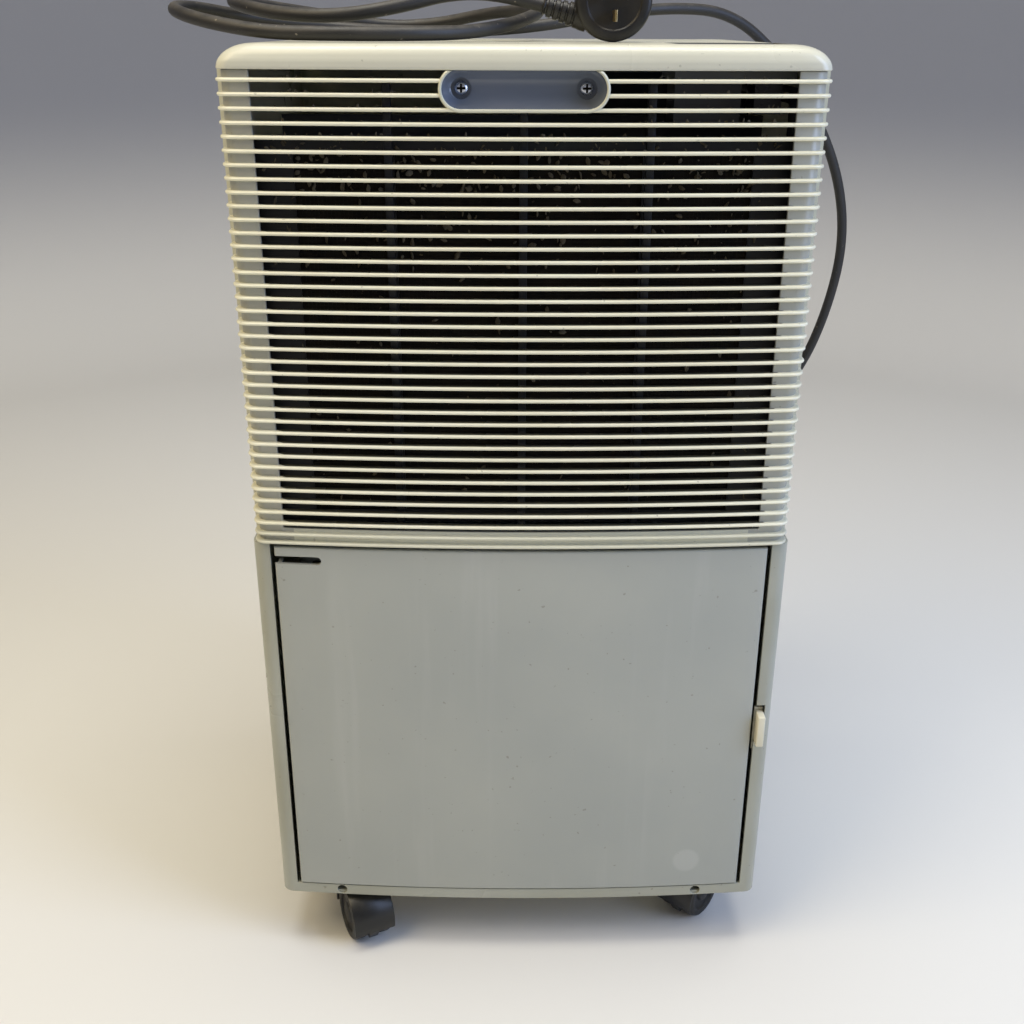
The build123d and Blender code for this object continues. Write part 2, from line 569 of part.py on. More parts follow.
# ---- The tank ----
def make_tank_front():
    """The plain front panel, with a notch at its upper left for the level mark."""
    half = TANK_FRONT_HALF
    panel = bowed_slab(half, PANEL_FRONT_INSET, TANK_FRONT_THICK, PANEL_BOTTOM, PANEL_TOP)
    outline = panel.faces().sort_by(Axis.Y)[0].edges()
    panel = fillet(outline, 1.4)
    flange = bowed_slab(half - 1.5, PANEL_FRONT_INSET + 1, TANK_FRONT_FLANGE,
                        PANEL_BOTTOM + 1.5, PANEL_TOP - 1.5)
    reach = half - 1.5 - WALL
    flange -= block(-reach, reach, FRONT - 1, 0, PANEL_BOTTOM + 1.5 + WALL, PANEL_TOP - 1.5 - WALL)
    notch_z = PANEL_TOP - NOTCH_DROP
    radius = NOTCH_HEIGHT / 2
    notch_end = -half + NOTCH_LENGTH - radius
    notch = block(-half - 1, notch_end, FRONT - 1, 0, notch_z - radius, notch_z + radius)
    notch += rod(radius, DEPTH, (notch_end, FRONT - 1, notch_z), (0, 1, 0))
    return panel + flange - notch


def make_water_tank():
    """An open tank behind its front panel, with ears for the float and holes for the handle."""
    half = TANK_HALF
    front_inset = PANEL_FRONT_INSET + TANK_FRONT_THICK
    body = prism(footprint(0, front_inset), TANK_BOTTOM, TANK_TOP)
    body = body & block(-half, half, FRONT, TANK_BACK, TANK_BOTTOM, TANK_TOP)
    inner = prism(footprint(0, front_inset + TANK_WALL), TANK_BOTTOM + TANK_WALL, TANK_TOP + 1)
    inner = inner & block(-half + TANK_WALL, half - TANK_WALL, FRONT, TANK_BACK - TANK_WALL,
                          TANK_BOTTOM, TANK_TOP + 1)
    tank = body - inner
    pin_x, pin_z = float_pivot()
    for side in (-1, 1):
        y = HANDLE_Y + side * 12
        tank += block(pin_x - 5, half - TANK_WALL / 2, y - 1.5, y + 1.5, pin_z - 5, pin_z + 5)
    tank -= rod(FLOAT_PIN_RADIUS, 40, (pin_x, HANDLE_Y - 20, pin_z), (0, 1, 0))
    hole = rod(PIVOT_RADIUS + RUNNING, WIDTH, (-WIDTH / 2, HANDLE_Y, HANDLE_Z), (1, 0, 0))
    return tank - hole


def float_pivot():
    return TANK_HALF - 20, TANK_TOP - 34


def make_float_pin():
    pin_x, pin_z = float_pivot()
    return rod(FLOAT_PIN_RADIUS, 30, (pin_x, HANDLE_Y - 15, pin_z), (0, 1, 0))


def make_float():
    """The float and its arm, hanging low in an empty tank."""
    length, width, height = FLOAT_SIZE
    arm = block(-FLOAT_ARM, 0, -4, 4, -2, 2) + rod(5, 8, (0, -4, 0), (0, 1, 0))
    body = block(-FLOAT_ARM - length / 2, -FLOAT_ARM + length / 2, -width / 2, width / 2,
                 -height, 0)
    body = fillet(body.edges().filter_by(Axis.Y), 5)
    lever = arm + body
    lever -= rod(FLOAT_PIN_RADIUS + RUNNING, 20, (0, -10, 0), (0, 1, 0))
    pin_x, pin_z = float_pivot()
    return Pos(pin_x, HANDLE_Y, pin_z) * Rot(0, -FLOAT_DROOP, 0) * lever


def make_handle():
    """The carrying bail, lying back on the tank's rim."""
    bar_y = HANDLE_Y + HANDLE_REACH
    bar_z = HANDLE_Z + HANDLE_RISE
    outside = HANDLE_SIDE + HANDLE_ARM
    bail = rod(HANDLE_BAR_RADIUS, 2 * outside, (-outside, bar_y, bar_z), (1, 0, 0))
    for side in (-1, 1):
        inner = side * HANDLE_SIDE
        plane = Plane(origin=(inner, 0, 0), x_dir=(0, 1, 0), z_dir=(side, 0, 0))
        sign = side
        path = Line((HANDLE_Y, sign * HANDLE_Z), (bar_y, sign * bar_z))
        arm = SlotCenterToCenter(path.length, 2 * HANDLE_BAR_RADIUS)
        turn = Rot(0, 0, path.tangent_angle_at(0))
        middle = path.position_at(0.5)
        bail += extrude(plane * Pos(middle.X, middle.Y) * turn * arm, HANDLE_ARM)
        length = SLIDING + TANK_WALL
        bail += rod(PIVOT_RADIUS, length, (inner, HANDLE_Y, HANDLE_Z), (-side, 0, 0))
    return bail


def make_latch():
    """The catch beside the tank: a tab in the stile's slot on a plate behind it."""
    x0 = FRAME_OPENING + SLIDING / 2
    x1 = x0 + LATCH_WIDTH
    z0 = LATCH_LEVEL
    z1 = z0 + LATCH_HEIGHT
    face_y = FRONT + FRAME_FRONT_INSET + FRONT_BULGE
    back_y = face_y + WALL + SLIDING
    tab = block(x0, x1, face_y - LATCH_PROUD, back_y + 1, z0, z1)
    tab = chamfer(tab.faces().sort_by(Axis.Y)[0].edges(), 0.8)
    plate = block(x0 - 0.6, x1, back_y, back_y + 2, z0 - 8, z1 + 2)
    nose = block(x0 - 2.2, x0, back_y + 0.4, back_y + 2, z0 + 4, z0 + 16)
    return tab + plate + nose


# ---- Behind the tank ----
def make_partition():
    """A steel sheet between the tank and the compressor."""
    half = SIDE - WALL - 4
    sheet = block(-half, half, PARTITION_Y, PARTITION_Y + PARTITION_THICK, BASE_FLOOR + 2,
                  PARTITION_TOP)
    margin = 1.0
    x0, x1 = switch_sides()
    return sheet - block(x0 - margin, x1 + margin, PARTITION_Y - 1, PARTITION_Y + 3,
                         SWITCH_BASE - margin, SWITCH_BASE + SWITCH_SIZE[2] + margin)


def switch_sides():
    middle = SWITCH_FROM_SIDE - SIDE
    return middle - SWITCH_SIZE[0] / 2, middle + SWITCH_SIZE[0] / 2


def make_tank_switch():
    """The switch that stops the machine when the tank is missing."""
    x0, x1 = switch_sides()
    return block(x0, x1, PARTITION_Y - 0.5, PARTITION_Y + SWITCH_SIZE[1], SWITCH_BASE,
                 SWITCH_BASE + SWITCH_SIZE[2])


def make_tank_lever():
    """The switch's leaf, between the switch and the back of the tank."""
    hinge_z = SWITCH_BASE + SWITCH_SIZE[2] - 3
    x0 = SWITCH_FROM_SIDE - SIDE - LEAF_WIDTH / 2
    y0 = PARTITION_Y - LEAF_GAP
    leaf = block(x0, x0 + LEAF_WIDTH, y0, y0 + LEAF_THICK, hinge_z - LEAF_LENGTH, hinge_z)
    return leaf + rod(1.0, LEAF_WIDTH, (x0, y0 + 0.8, hinge_z), (1, 0, 0))


def make_drip_tray():
    """Catches the water under the cold coil and lets it down into the tank."""
    half = COIL_HALF + 4
    y0, y1 = EVAPORATOR_Y - COIL_DEPTH / 2 - 4, CONDENSER_Y + COIL_DEPTH / 2
    z0, z1 = COIL_BASE - 30, COIL_BASE - 12
    tray = block(-half, half, y0, y1, z0, z1)
    tray -= block(-half + 2, half - 2, y0 + 2, y1 - 2, z0 + 2, z1 + 1)
    middle_y = (y0 + y1) / 2
    tray += rod(8, 6, (0, middle_y, z0), (0, 0, -1))
    return tray - rod(5.5, 30, (0, middle_y, z0 + 5), (0, 0, -1))


# ---- Coils ----
def pass_heights():
    return [COIL_BASE + (i + 0.5) * COIL_PASS_PITCH for i in range(COIL_PASSES)]


def make_coil_tube(y):
    """One tube that runs to and fro through the fins."""
    reach = coil_end()
    points = []
    for i, z in enumerate(pass_heights()):
        side = 1 if i % 2 else -1
        points += [(side * reach, y, z), (-side * reach, y, z)]
    return pipe(points, TUBE_RADIUS, COIL_PASS_PITCH / 2 - 0.1)


def make_fins(y):
    """Thin fins between two end plates, bored for the tube."""
    half = COIL_HALF
    y0, y1 = y - COIL_DEPTH / 2, y + COIL_DEPTH / 2
    count = round(2 * (half - FIN_PITCH) / FIN_PITCH)
    step = 2 * (half - FIN_PITCH) / count
    places = [(-half + FIN_PITCH + i * step, FIN_THICK) for i in range(count + 1)]
    places += [(-half, END_PLATE_THICK), (half, END_PLATE_THICK)]
    holes = [rod(TUBE_RADIUS + RUNNING, 2 * half + 40, (-half - 20, y, z), (1, 0, 0))
             for z in pass_heights()]
    plates = []
    for x, thick in places:
        plate = block(x - thick / 2, x + thick / 2, y0, y1, COIL_BASE, COIL_TOP)
        plates.append(plate.cut(*holes).solid())
    return Compound(children=plates)


def filter_edges():
    half = INTAKE_HALF + FILTER_OVERLAP
    return half, GRILLE_BOTTOM + FILTER_RISE, GRILLE_TOP - FILTER_DROP


def filter_slab(inset, thick):
    """A sheet in the middle of the filter's thickness, inset from its edges."""
    half, z0, z1 = filter_edges()
    y = FILTER_FRONT + FILTER_THICK / 2
    return block(-half + inset, half - inset, y - thick / 2, y + thick / 2, z0 + inset, z1 - inset)


def make_filter_frame():
    """The air filter's frame, which slides up behind the grille."""
    half, z0, z1 = filter_edges()
    y1 = FILTER_FRONT + FILTER_THICK
    frame = block(-half, half, FILTER_FRONT, y1, z0, z1)
    clear = half - FILTER_SIDE_BORDER
    frame -= block(-clear, clear, FILTER_FRONT - 1, y1 + 1, z0 + FILTER_BORDER, z1 - FILTER_BORDER)
    bars = [block(x - RIB_WIDTH / 2, x + RIB_WIDTH / 2, FILTER_FRONT, y1, z0, z1)
            for x in RIB_PLACES]
    return frame.fuse(*bars) - filter_slab(MESH_GROOVE, MESH_THICK + 0.2)


def make_filter_mesh():
    return filter_slab(MESH_GROOVE + 0.2, MESH_THICK)


# ---- Fan ----
def make_shroud():
    """The plate behind the coils, with a short throat round the fan."""
    half = coil_end() + PIPE_OFFSET - TUBE_RADIUS - 3
    y1 = SHROUD_Y + SHROUD_THICK
    plate = block(-half, half, SHROUD_Y, y1, COIL_BASE - 12, COIL_TOP + 14)
    throat = FAN_RADIUS + FAN_TIP_GAP
    plate += rod(throat + 2, SHROUD_LIP, (0, SHROUD_Y, FAN_Z), (0, 1, 0))
    return plate - rod(throat, SHROUD_LIP + 2, (0, SHROUD_Y - 1, FAN_Z), (0, 1, 0))


def make_fan():
    """Five pitched blades on a hub, pressed on the motor's shaft."""
    hub = rod(FAN_HUB_RADIUS, FAN_LENGTH, (0, 0, 0), (0, 0, 1))
    hub = fillet(hub.faces().sort_by(Axis.Z)[0].edges(), 5)
    length = FAN_RADIUS - FAN_HUB_RADIUS + 6
    middle = FAN_HUB_RADIUS - 6 + length / 2
    blade = Pos(middle, 0, FAN_LENGTH / 2) * Rot(FAN_PITCH_ANGLE, 0, 0)
    blade = blade * Box(length, FAN_CHORD, FAN_THICK)
    reach = rod(FAN_RADIUS, FAN_LENGTH, (0, 0, 0), (0, 0, 1))
    blades = [Rot(0, 0, i * 360 / FAN_BLADES) * blade for i in range(FAN_BLADES)]
    fan = hub.fuse(*blades) & reach
    fan -= rod(SHAFT_RADIUS, FAN_LENGTH + 2, (0, 0, -1), (0, 0, 1))
    return Plane(origin=(0, FAN_Y, FAN_Z), z_dir=(0, 1, 0)) * fan


def make_fan_shaft():
    return rod(SHAFT_RADIUS, FAN_LENGTH + 26, (0, FAN_Y, FAN_Z), (0, 1, 0))


def make_motor():
    body = rod(MOTOR_RADIUS, MOTOR_LENGTH, (0, MOTOR_Y, FAN_Z), (0, 1, 0))
    body = fillet(body.edges().filter_by(GeomType.CIRCLE), 4)
    return body - rod(SHAFT_RADIUS + RUNNING, 21, (0, MOTOR_Y - 0.5, FAN_Z), (0, 1, 0))


def make_motor_bracket():
    """A cross of strips behind the motor, on four posts from the shroud."""
    reach = FAN_RADIUS + FAN_TIP_GAP + 12
    bracket = rod(30, 3, (0, BRACKET_Y, FAN_Z), (0, 1, 0))
    post_start = SHROUD_Y + SHROUD_THICK
    post_length = BRACKET_Y - post_start + 3
    for angle in (45, 135, 225, 315):
        turn = Pos(0, 0, FAN_Z) * Rot(0, angle, 0)
        bracket += turn * block(0, reach, BRACKET_Y, BRACKET_Y + 3, -8, 8)
        bracket += turn * rod(5, post_length, (reach, post_start, 0), (0, 1, 0))
    return bracket


def make_outlet_grille():
    """Horizontal louvres in a frame, flush in the rear wall."""
    half_w, half_h = OUTLET_HALF - SEAM, OUTLET_HEIGHT / 2 - SEAM
    y0 = REAR - OUTLET_THICK
    z0, z1 = FAN_Z - half_h, FAN_Z + half_h
    keep = block(-half_w, half_w, y0, REAR, z0, z1)
    clear_w = half_w - OUTLET_FRAME
    frame = keep - block(-clear_w, clear_w, y0 - 1, REAR + 1, z0 + OUTLET_FRAME, z1 - OUTLET_FRAME)
    clear_height = 2 * (half_h - OUTLET_FRAME)
    count = int(clear_height / LOUVRE_PITCH)
    step = clear_height / (count + 1)
    bars = []
    for i in range(1, count + 1):
        bar = Box(2 * clear_w + 2, OUTLET_THICK + 0.5, LOUVRE_THICK)
        place = Pos(0, REAR - OUTLET_THICK / 2, z0 + OUTLET_FRAME + i * step)
        bars.append(place * Rot(-LOUVRE_TILT, 0, 0) * bar)
    bars += [block(x - 1.2, x + 1.2, y0 + 1, REAR - 1, z0 + 2, z1 - 2)
             for x in (-half_w / 3, half_w / 3)]
    return frame.fuse(*bars) & keep


# ---- Compressor and pipes ----
def make_compressor():
    """A sealed can with domed ends on a three-cornered foot plate."""
    foot_z = BASE_FLOOR + MOUNT_HEIGHT
    centre = (COMPRESSOR_X, COMPRESSOR_Y, foot_z + 2)
    can = rod(COMPRESSOR_RADIUS, COMPRESSOR_HEIGHT, centre, (0, 0, 1))
    can = fillet(can.faces().sort_by(Axis.Z)[-1].edges(), 26)
    foot = rod(22, 3, (COMPRESSOR_X, COMPRESSOR_Y, foot_z), (0, 0, 1))
    for x, y in mount_places():
        middle_x, middle_y = (x + COMPRESSOR_X) / 2, (y + COMPRESSOR_Y) / 2
        reach = Line((COMPRESSOR_X, COMPRESSOR_Y), (x, y))
        arm = SlotCenterToCenter(reach.length, 24)
        place = Pos(middle_x, middle_y, foot_z) * Rot(0, 0, reach.tangent_angle_at(0))
        foot += extrude(place * arm, 3)
    for x, y in mount_places():
        foot -= rod(4.0, 10, (x, y, foot_z - 1), (0, 0, 1))
    return can + foot


def mount_places():
    turns = [radians(angle) for angle in (90, 210, 330)]
    return [(COMPRESSOR_X + MOUNT_CIRCLE * cos(turn), COMPRESSOR_Y + MOUNT_CIRCLE * sin(turn))
            for turn in turns]


def make_mounts():
    """Rubber mounts between the base and the compressor's foot."""
    mounts = []
    for x, y in mount_places():
        low = rod(MOUNT_RADIUS, MOUNT_HEIGHT, (x, y, BASE_FLOOR), (0, 0, 1))
        neck = rod(4.0 - RUNNING, MOUNT_HEIGHT + 6, (x, y, BASE_FLOOR), (0, 0, 1))
        cap = rod(7, 3, (x, y, BASE_FLOOR + MOUNT_HEIGHT + 3), (0, 0, 1))
        mounts.append((low + neck + cap).solid())
    return Compound(children=mounts)


def compressor_top():
    return BASE_FLOOR + MOUNT_HEIGHT + 2 + COMPRESSOR_HEIGHT


def coil_end():
    """How far from the middle the tubes' open ends are."""
    return COIL_HALF + COIL_BEND_REACH


def make_suction_line():
    """From the cold coil's upper end, over the shroud and down to the compressor's top."""
    x_end = coil_end()
    side_x = x_end + PIPE_OFFSET
    start_x = COMPRESSOR_X - 16
    low_z = PARTITION_TOP + 24
    high_z = COIL_TOP + 28
    z_end = pass_heights()[-1]
    points = [(start_x, COMPRESSOR_Y, compressor_top()), (start_x, COMPRESSOR_Y, low_z),
              (side_x, COMPRESSOR_Y, low_z), (side_x, COMPRESSOR_Y, high_z),
              (side_x, EVAPORATOR_Y, high_z), (side_x, EVAPORATOR_Y, z_end),
              (x_end, EVAPORATOR_Y, z_end)]
    return pipe(points, TUBE_RADIUS, 9)


def make_discharge_line():
    """From the compressor's top, under the shroud, to the hot coil's upper end."""
    x_end = coil_end()
    side_x = x_end + PIPE_OFFSET
    start_x = COMPRESSOR_X + 16
    low_z = PARTITION_TOP + 8
    z_end = pass_heights()[-1]
    points = [(start_x, COMPRESSOR_Y, compressor_top()), (start_x, COMPRESSOR_Y, low_z),
              (side_x, COMPRESSOR_Y, low_z), (side_x, CONDENSER_Y, low_z),
              (side_x, CONDENSER_Y, z_end), (x_end, CONDENSER_Y, z_end)]
    return pipe(points, TUBE_RADIUS - 1, 9)


def make_filter_drier():
    """A small copper cartridge at the hot coil's outlet."""
    x, z = -coil_end(), pass_heights()[0]
    can = rod(DRIER_RADIUS, DRIER_LENGTH, (x - PIPE_OFFSET, CONDENSER_Y, z + 8), (0, 0, 1))
    can = fillet(can.edges().filter_by(GeomType.CIRCLE), 3)
    stub = [(x, CONDENSER_Y, z), (x - PIPE_OFFSET, CONDENSER_Y, z),
            (x - PIPE_OFFSET, CONDENSER_Y, z + 12)]
    return can + pipe(stub, 3.0, 5)


def make_capillary():
    """The thin tube from the cartridge to the cold coil's inlet."""
    x, z = -coil_end(), pass_heights()[0]
    side_x = x - PIPE_OFFSET
    top = z + 8 + DRIER_LENGTH
    points = [(side_x, CONDENSER_Y, top), (side_x, CONDENSER_Y, top + 22),
              (side_x, EVAPORATOR_Y, top + 22), (side_x, EVAPORATOR_Y, z), (x, EVAPORATOR_Y, z)]
    return pipe(points, 1.5, 6)


# ---- Electrical parts ----
def make_electrical_box():
    """A closed box high at the rear right, with a groove where its lid meets it."""
    length, depth, height = BOX_SIZE
    x1, y1, z1 = SIDE - BOX_FROM_SIDE, REAR - BOX_FROM_REAR, LID_UNDER - BOX_DROP
    x0, y0, z0 = x1 - length, y1 - depth, z1 - height
    box = block(x0, x1, y0, y1, z0, z1)
    box = fillet(box.edges().filter_by(Axis.Z), 3)
    seam = z1 - BOX_SEAM_DROP
    groove = block(x0 - 1, x1 + 1, y0 - 1, y1 + 1, seam - 1, seam)
    groove -= block(x0 + 1, x1 - 1, y0 + 1, y1 - 1, seam - 1, seam)
    return box - groove


def make_capacitor():
    """A can that stands on the base pan, with two flat terminals."""
    y = COMPRESSOR_Y + 10
    can = rod(CAPACITOR_RADIUS, CAPACITOR_HEIGHT, (CAPACITOR_X, y, BASE_FLOOR), (0, 0, 1))
    can = fillet(can.faces().sort_by(Axis.Z)[-1].edges(), 2)
    z = BASE_FLOOR + CAPACITOR_HEIGHT - 1
    for x in (CAPACITOR_X - TAB_WIDTH, CAPACITOR_X + TAB_WIDTH):
        can += block(x - TAB_WIDTH / 2, x + TAB_WIDTH / 2, y - TAB_THICK / 2, y + TAB_THICK / 2,
                     z, z + TAB_HEIGHT)
    return can


# ---- Castors ----
def castor_local(x, y, angle):
    """The castor's frame: its swivel axis, turned to the way it trails."""
    return Pos(x, y, 0) * Rot(0, 0, angle)


def make_castor_fork():
    """The stem, the hood over the wheels and the web that holds the axle."""
    top = BODY_BASE - SEAM
    hood_inner = WHEEL_RADIUS + HOOD_GAP
    hood_outer = hood_inner + HOOD_THICK
    half = CASTOR_WEB / 2 + WHEEL_THICK + 0.6
    axle_y = -CASTOR_TRAIL
    far = 60
    hood = rod(hood_outer, 2 * half, (-half, axle_y, WHEEL_RADIUS), (1, 0, 0))
    hollow = rod(hood_inner, 2 * half + 2, (-half - 1, axle_y, WHEEL_RADIUS), (1, 0, 0))
    web = hollow & block(-CASTOR_WEB / 2, CASTOR_WEB / 2, -far, far, 6, far)
    hood -= hollow
    hood -= block(-far, far, -far, far, -10, WHEEL_RADIUS - 4)
    fork = hood + web
    clear = rod(hood_inner, 2 * far, (-far, axle_y, WHEEL_RADIUS), (1, 0, 0))
    collar = rod(COLLAR_RADIUS, COLLAR_HEIGHT, (0, 0, top - COLLAR_HEIGHT), (0, 0, 1))
    neck = rod(NECK_RADIUS, NECK_HEIGHT, (0, 0, top - NECK_HEIGHT), (0, 0, 1))
    fork += (collar + neck) - clear
    fork += rod(STEM_RADIUS, STEM_HEIGHT, (0, 0, top), (0, 0, 1))
    return fork - rod(AXLE_RADIUS, far, (-far / 2, axle_y, WHEEL_RADIUS), (1, 0, 0))


def make_castor_axle():
    reach = CASTOR_WEB / 2 + WHEEL_THICK - 2.5
    return rod(AXLE_RADIUS, 2 * reach, (-reach, -CASTOR_TRAIL, WHEEL_RADIUS), (1, 0, 0))


def make_castor_wheels():
    """Two wheels, one each side of the web."""
    wheels = []
    for side in (-1, 1):
        inner = side * (CASTOR_WEB / 2 + SEAM)
        centre = (inner, -CASTOR_TRAIL, WHEEL_RADIUS)
        wheel = rod(WHEEL_RADIUS, WHEEL_THICK - SEAM, centre, (side, 0, 0))
        wheel = fillet(wheel.edges().filter_by(GeomType.CIRCLE), 2.5)
        bore = rod(AXLE_RADIUS + RUNNING, WHEEL_THICK - 2, centre, (side, 0, 0))
        wheels.append((wheel - bore).solid())
    return Compound(children=wheels)


# ---- The mains lead ----
def make_gland():
    """A tapered strain relief, clamped in the rear wall."""
    root = GLAND_ROOT_RADIUS - RUNNING
    back = REAR - WALL - GLAND_FLANGE
    gland = cone(root, GLAND_TIP_RADIUS, GLAND_LENGTH, (GLAND_X, REAR, GLAND_Z), (0, 1, 0))
    gland += rod(root, REAR - back, (GLAND_X, back, GLAND_Z), (0, 1, 0))
    gland += rod(root + GLAND_FLANGE, GLAND_FLANGE - SEAM, (GLAND_X, back, GLAND_Z), (0, 1, 0))
    taper = (GLAND_ROOT_RADIUS - GLAND_TIP_RADIUS) / GLAND_LENGTH
    for i in range(GLAND_GROOVES):
        reach = GLAND_GROOVE_PITCH * (i + 1)
        here = GLAND_ROOT_RADIUS - taper * reach
        ring = rod(here + 2, GLAND_GROOVE_WIDTH, (GLAND_X, REAR + reach, GLAND_Z), (0, 1, 0))
        ring -= rod(here - 1, 2 * GLAND_GROOVE_WIDTH, (GLAND_X, REAR + reach - 0.5, GLAND_Z),
                    (0, 1, 0))
        gland -= ring
    return gland


LEAD_ON_LID = HEIGHT + LEAD_RADIUS + 0.5
ROUTE = [
    (GLAND_X, REAR + GLAND_LENGTH, GLAND_Z), (GLAND_X, 204, GLAND_Z), (121, 231, 202),
    (150, 244, 228), (192, 243, 258), (230, 235, 291), (259, 223, 337), (274, 212, 395),
    (279, 204, 452), (267, 195, 506), (240, 183, 556), (204, 168, 600), (160, 149, 633),
    (108, 123, 636), (52, 100, 629), (8, 86, 622), (-40, 80, 619), (-90, 78, 619),
    (-140, 68, 622), (-186, 44, 628), (-214, 6, 634), (-216, -36, 632), (-188, -70, 625),
    (-148, -88, 619), (-106, -93, LEAD_ON_LID), (-66, -86, LEAD_ON_LID), (-34, -66, 619),
    (-9, -38, 623), (8, -6, 629), (12, 28, 633), (2, 62, 633), (-24, 92, 631), (-60, 108, 624),
    (-98, 110, 622), (-136, 95, 629), (-163, 66, 633), (-180, 32, 636), (-184, -6, 638),
    (-172, -42, 634), (-144, -66, 629), (-108, -77, 627.5), (-72, -72, 633), (-42, -60, 641),
    tuple(LEAD_END + PLUG_EXIT_WAY * PLUG_RELIEF), tuple(LEAD_END),
]


def lead_radii():
    """Each bend is as round as its shorter run allows."""
    radii = []
    for before, corner, after in zip(ROUTE, ROUTE[1:], ROUTE[2:]):
        arriving = Vector(*corner) - Vector(*before)
        leaving = Vector(*after) - Vector(*corner)
        turn = radians(arriving.get_angle(leaving))
        radii.append(0.45 * min(arriving.length, leaving.length) / tan(turn / 2))
    return radii


def make_lead():
    """The lead's free length: up the rear, over the edge and round on the lid."""
    radii = lead_radii()
    path = FilletPolyline(*ROUTE, radius=radii)
    start = Plane(origin=path @ 0, z_dir=path % 0)
    tube = sweep(start * Circle(LEAD_RADIUS), path=path)
    ratio = tube.volume / (pi * LEAD_RADIUS ** 2 * path.length)
    print("lead: length", round(path.length), "tightest bend", round(min(radii)), "volume ratio",
          round(ratio, 4))
    return tube


def make_plug():
    """A round moulded plug, standing on its rim with its pins to the front."""
    half = PLUG_THICK / 2
    body = rod(PLUG_RADIUS, PLUG_THICK, (PLUG_X, PLUG_Y - half, PLUG_Z), (0, 1, 0))
    body = fillet(body.edges().filter_by(GeomType.CIRCLE), 3)
    return body + cone(7.5, 5.4, PLUG_RELIEF, PLUG_EXIT, PLUG_EXIT_WAY)


def make_plug_pins():
    """Two slanted blades and an earth blade."""
    face = PLUG_Y - PLUG_THICK / 2
    pins = []
    for angle, offset_x, offset_z in ((30, -6.9, 3.5), (-30, 6.9, 3.5), (0, 0, -8.5)):
        blade = Box(1.6, PIN_LENGTH, 6.4)
        blade = fillet(blade.faces().sort_by(Axis.Y)[0].edges().filter_by(Axis.Z), 0.5)
        pins.append((Pos(PLUG_X + offset_x, face - PIN_LENGTH / 2, PLUG_Z + offset_z)
                     * Rot(0, angle, 0) * blade).solid())
    return Compound(children=pins)


# ---- Build every piece ----
PIECES = {
    "cabinet": make_cabinet, "top_cap": make_lid, "front_grille": make_grille,
    "grille_screws": make_grille_screws, "front_frame": make_front_frame,
    "frame_screws": make_frame_screws, "base_pan": make_base_pan,
    "control_panel": make_control_panel, "humidistat_knob": make_knob,
    "humidistat": make_humidistat, "switch_body": make_switch_body,
    "power_rocker": make_rocker, "running_lamp": make_lamp, "tank_front": make_tank_front,
    "water_tank": make_water_tank, "float_pin": make_float_pin, "tank_float": make_float,
    "tank_handle": make_handle, "tank_latch": make_latch, "partition": make_partition,
    "tank_switch": make_tank_switch, "tank_switch_lever": make_tank_lever,
    "drip_tray": make_drip_tray, "filter_frame": make_filter_frame,
    "filter_mesh": make_filter_mesh, "fan_shroud": make_shroud, "fan_blade": make_fan,
    "fan_shaft": make_fan_shaft, "fan_motor": make_motor, "motor_bracket": make_motor_bracket,
    "outlet_grille": make_outlet_grille, "compressor": make_compressor,
    "compressor_mounts": make_mounts, "suction_line": make_suction_line,
    "discharge_line": make_discharge_line, "filter_drier": make_filter_drier,
    "capillary_tube": make_capillary, "electrical_box": make_electrical_box,
    "run_capacitor": make_capacitor, "cord_gland": make_gland, "mains_lead": make_lead,
    "plug_body": make_plug, "plug_pins": make_plug_pins,
}

for node, make in PIECES.items():
    write(node, make())

for coil, coil_y in (("evaporator", EVAPORATOR_Y), ("condenser", CONDENSER_Y)):
    write(f"{coil}_fins", make_fins(coil_y))
    write(f"{coil}_tube", make_coil_tube(coil_y))

for place, (side_x, side_y, angle) in CASTORS.items():
    frame = castor_local(side_x * CASTOR_X, side_y * CASTOR_Y, angle)
    write(f"castor_fork_{place}", frame * make_castor_fork())
    write(f"castor_axle_{place}", frame * make_castor_axle())
    write(f"castor_wheels_{place}", frame * make_castor_wheels())
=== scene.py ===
# %% [markdown]
# A household dehumidifier on castors. The upper front is an air intake of 36 thin slats under a rounded
# lid, and the plain grey panel below it is the front of the water tank. The mains lead lies in loose
# turns on the lid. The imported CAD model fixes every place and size; this file makes what the eye sees.

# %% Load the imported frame
import json
from math import atan2, cos, degrees, pi, radians, sin, sqrt

import bmesh
import bpy
from mathutils import Matrix, Vector

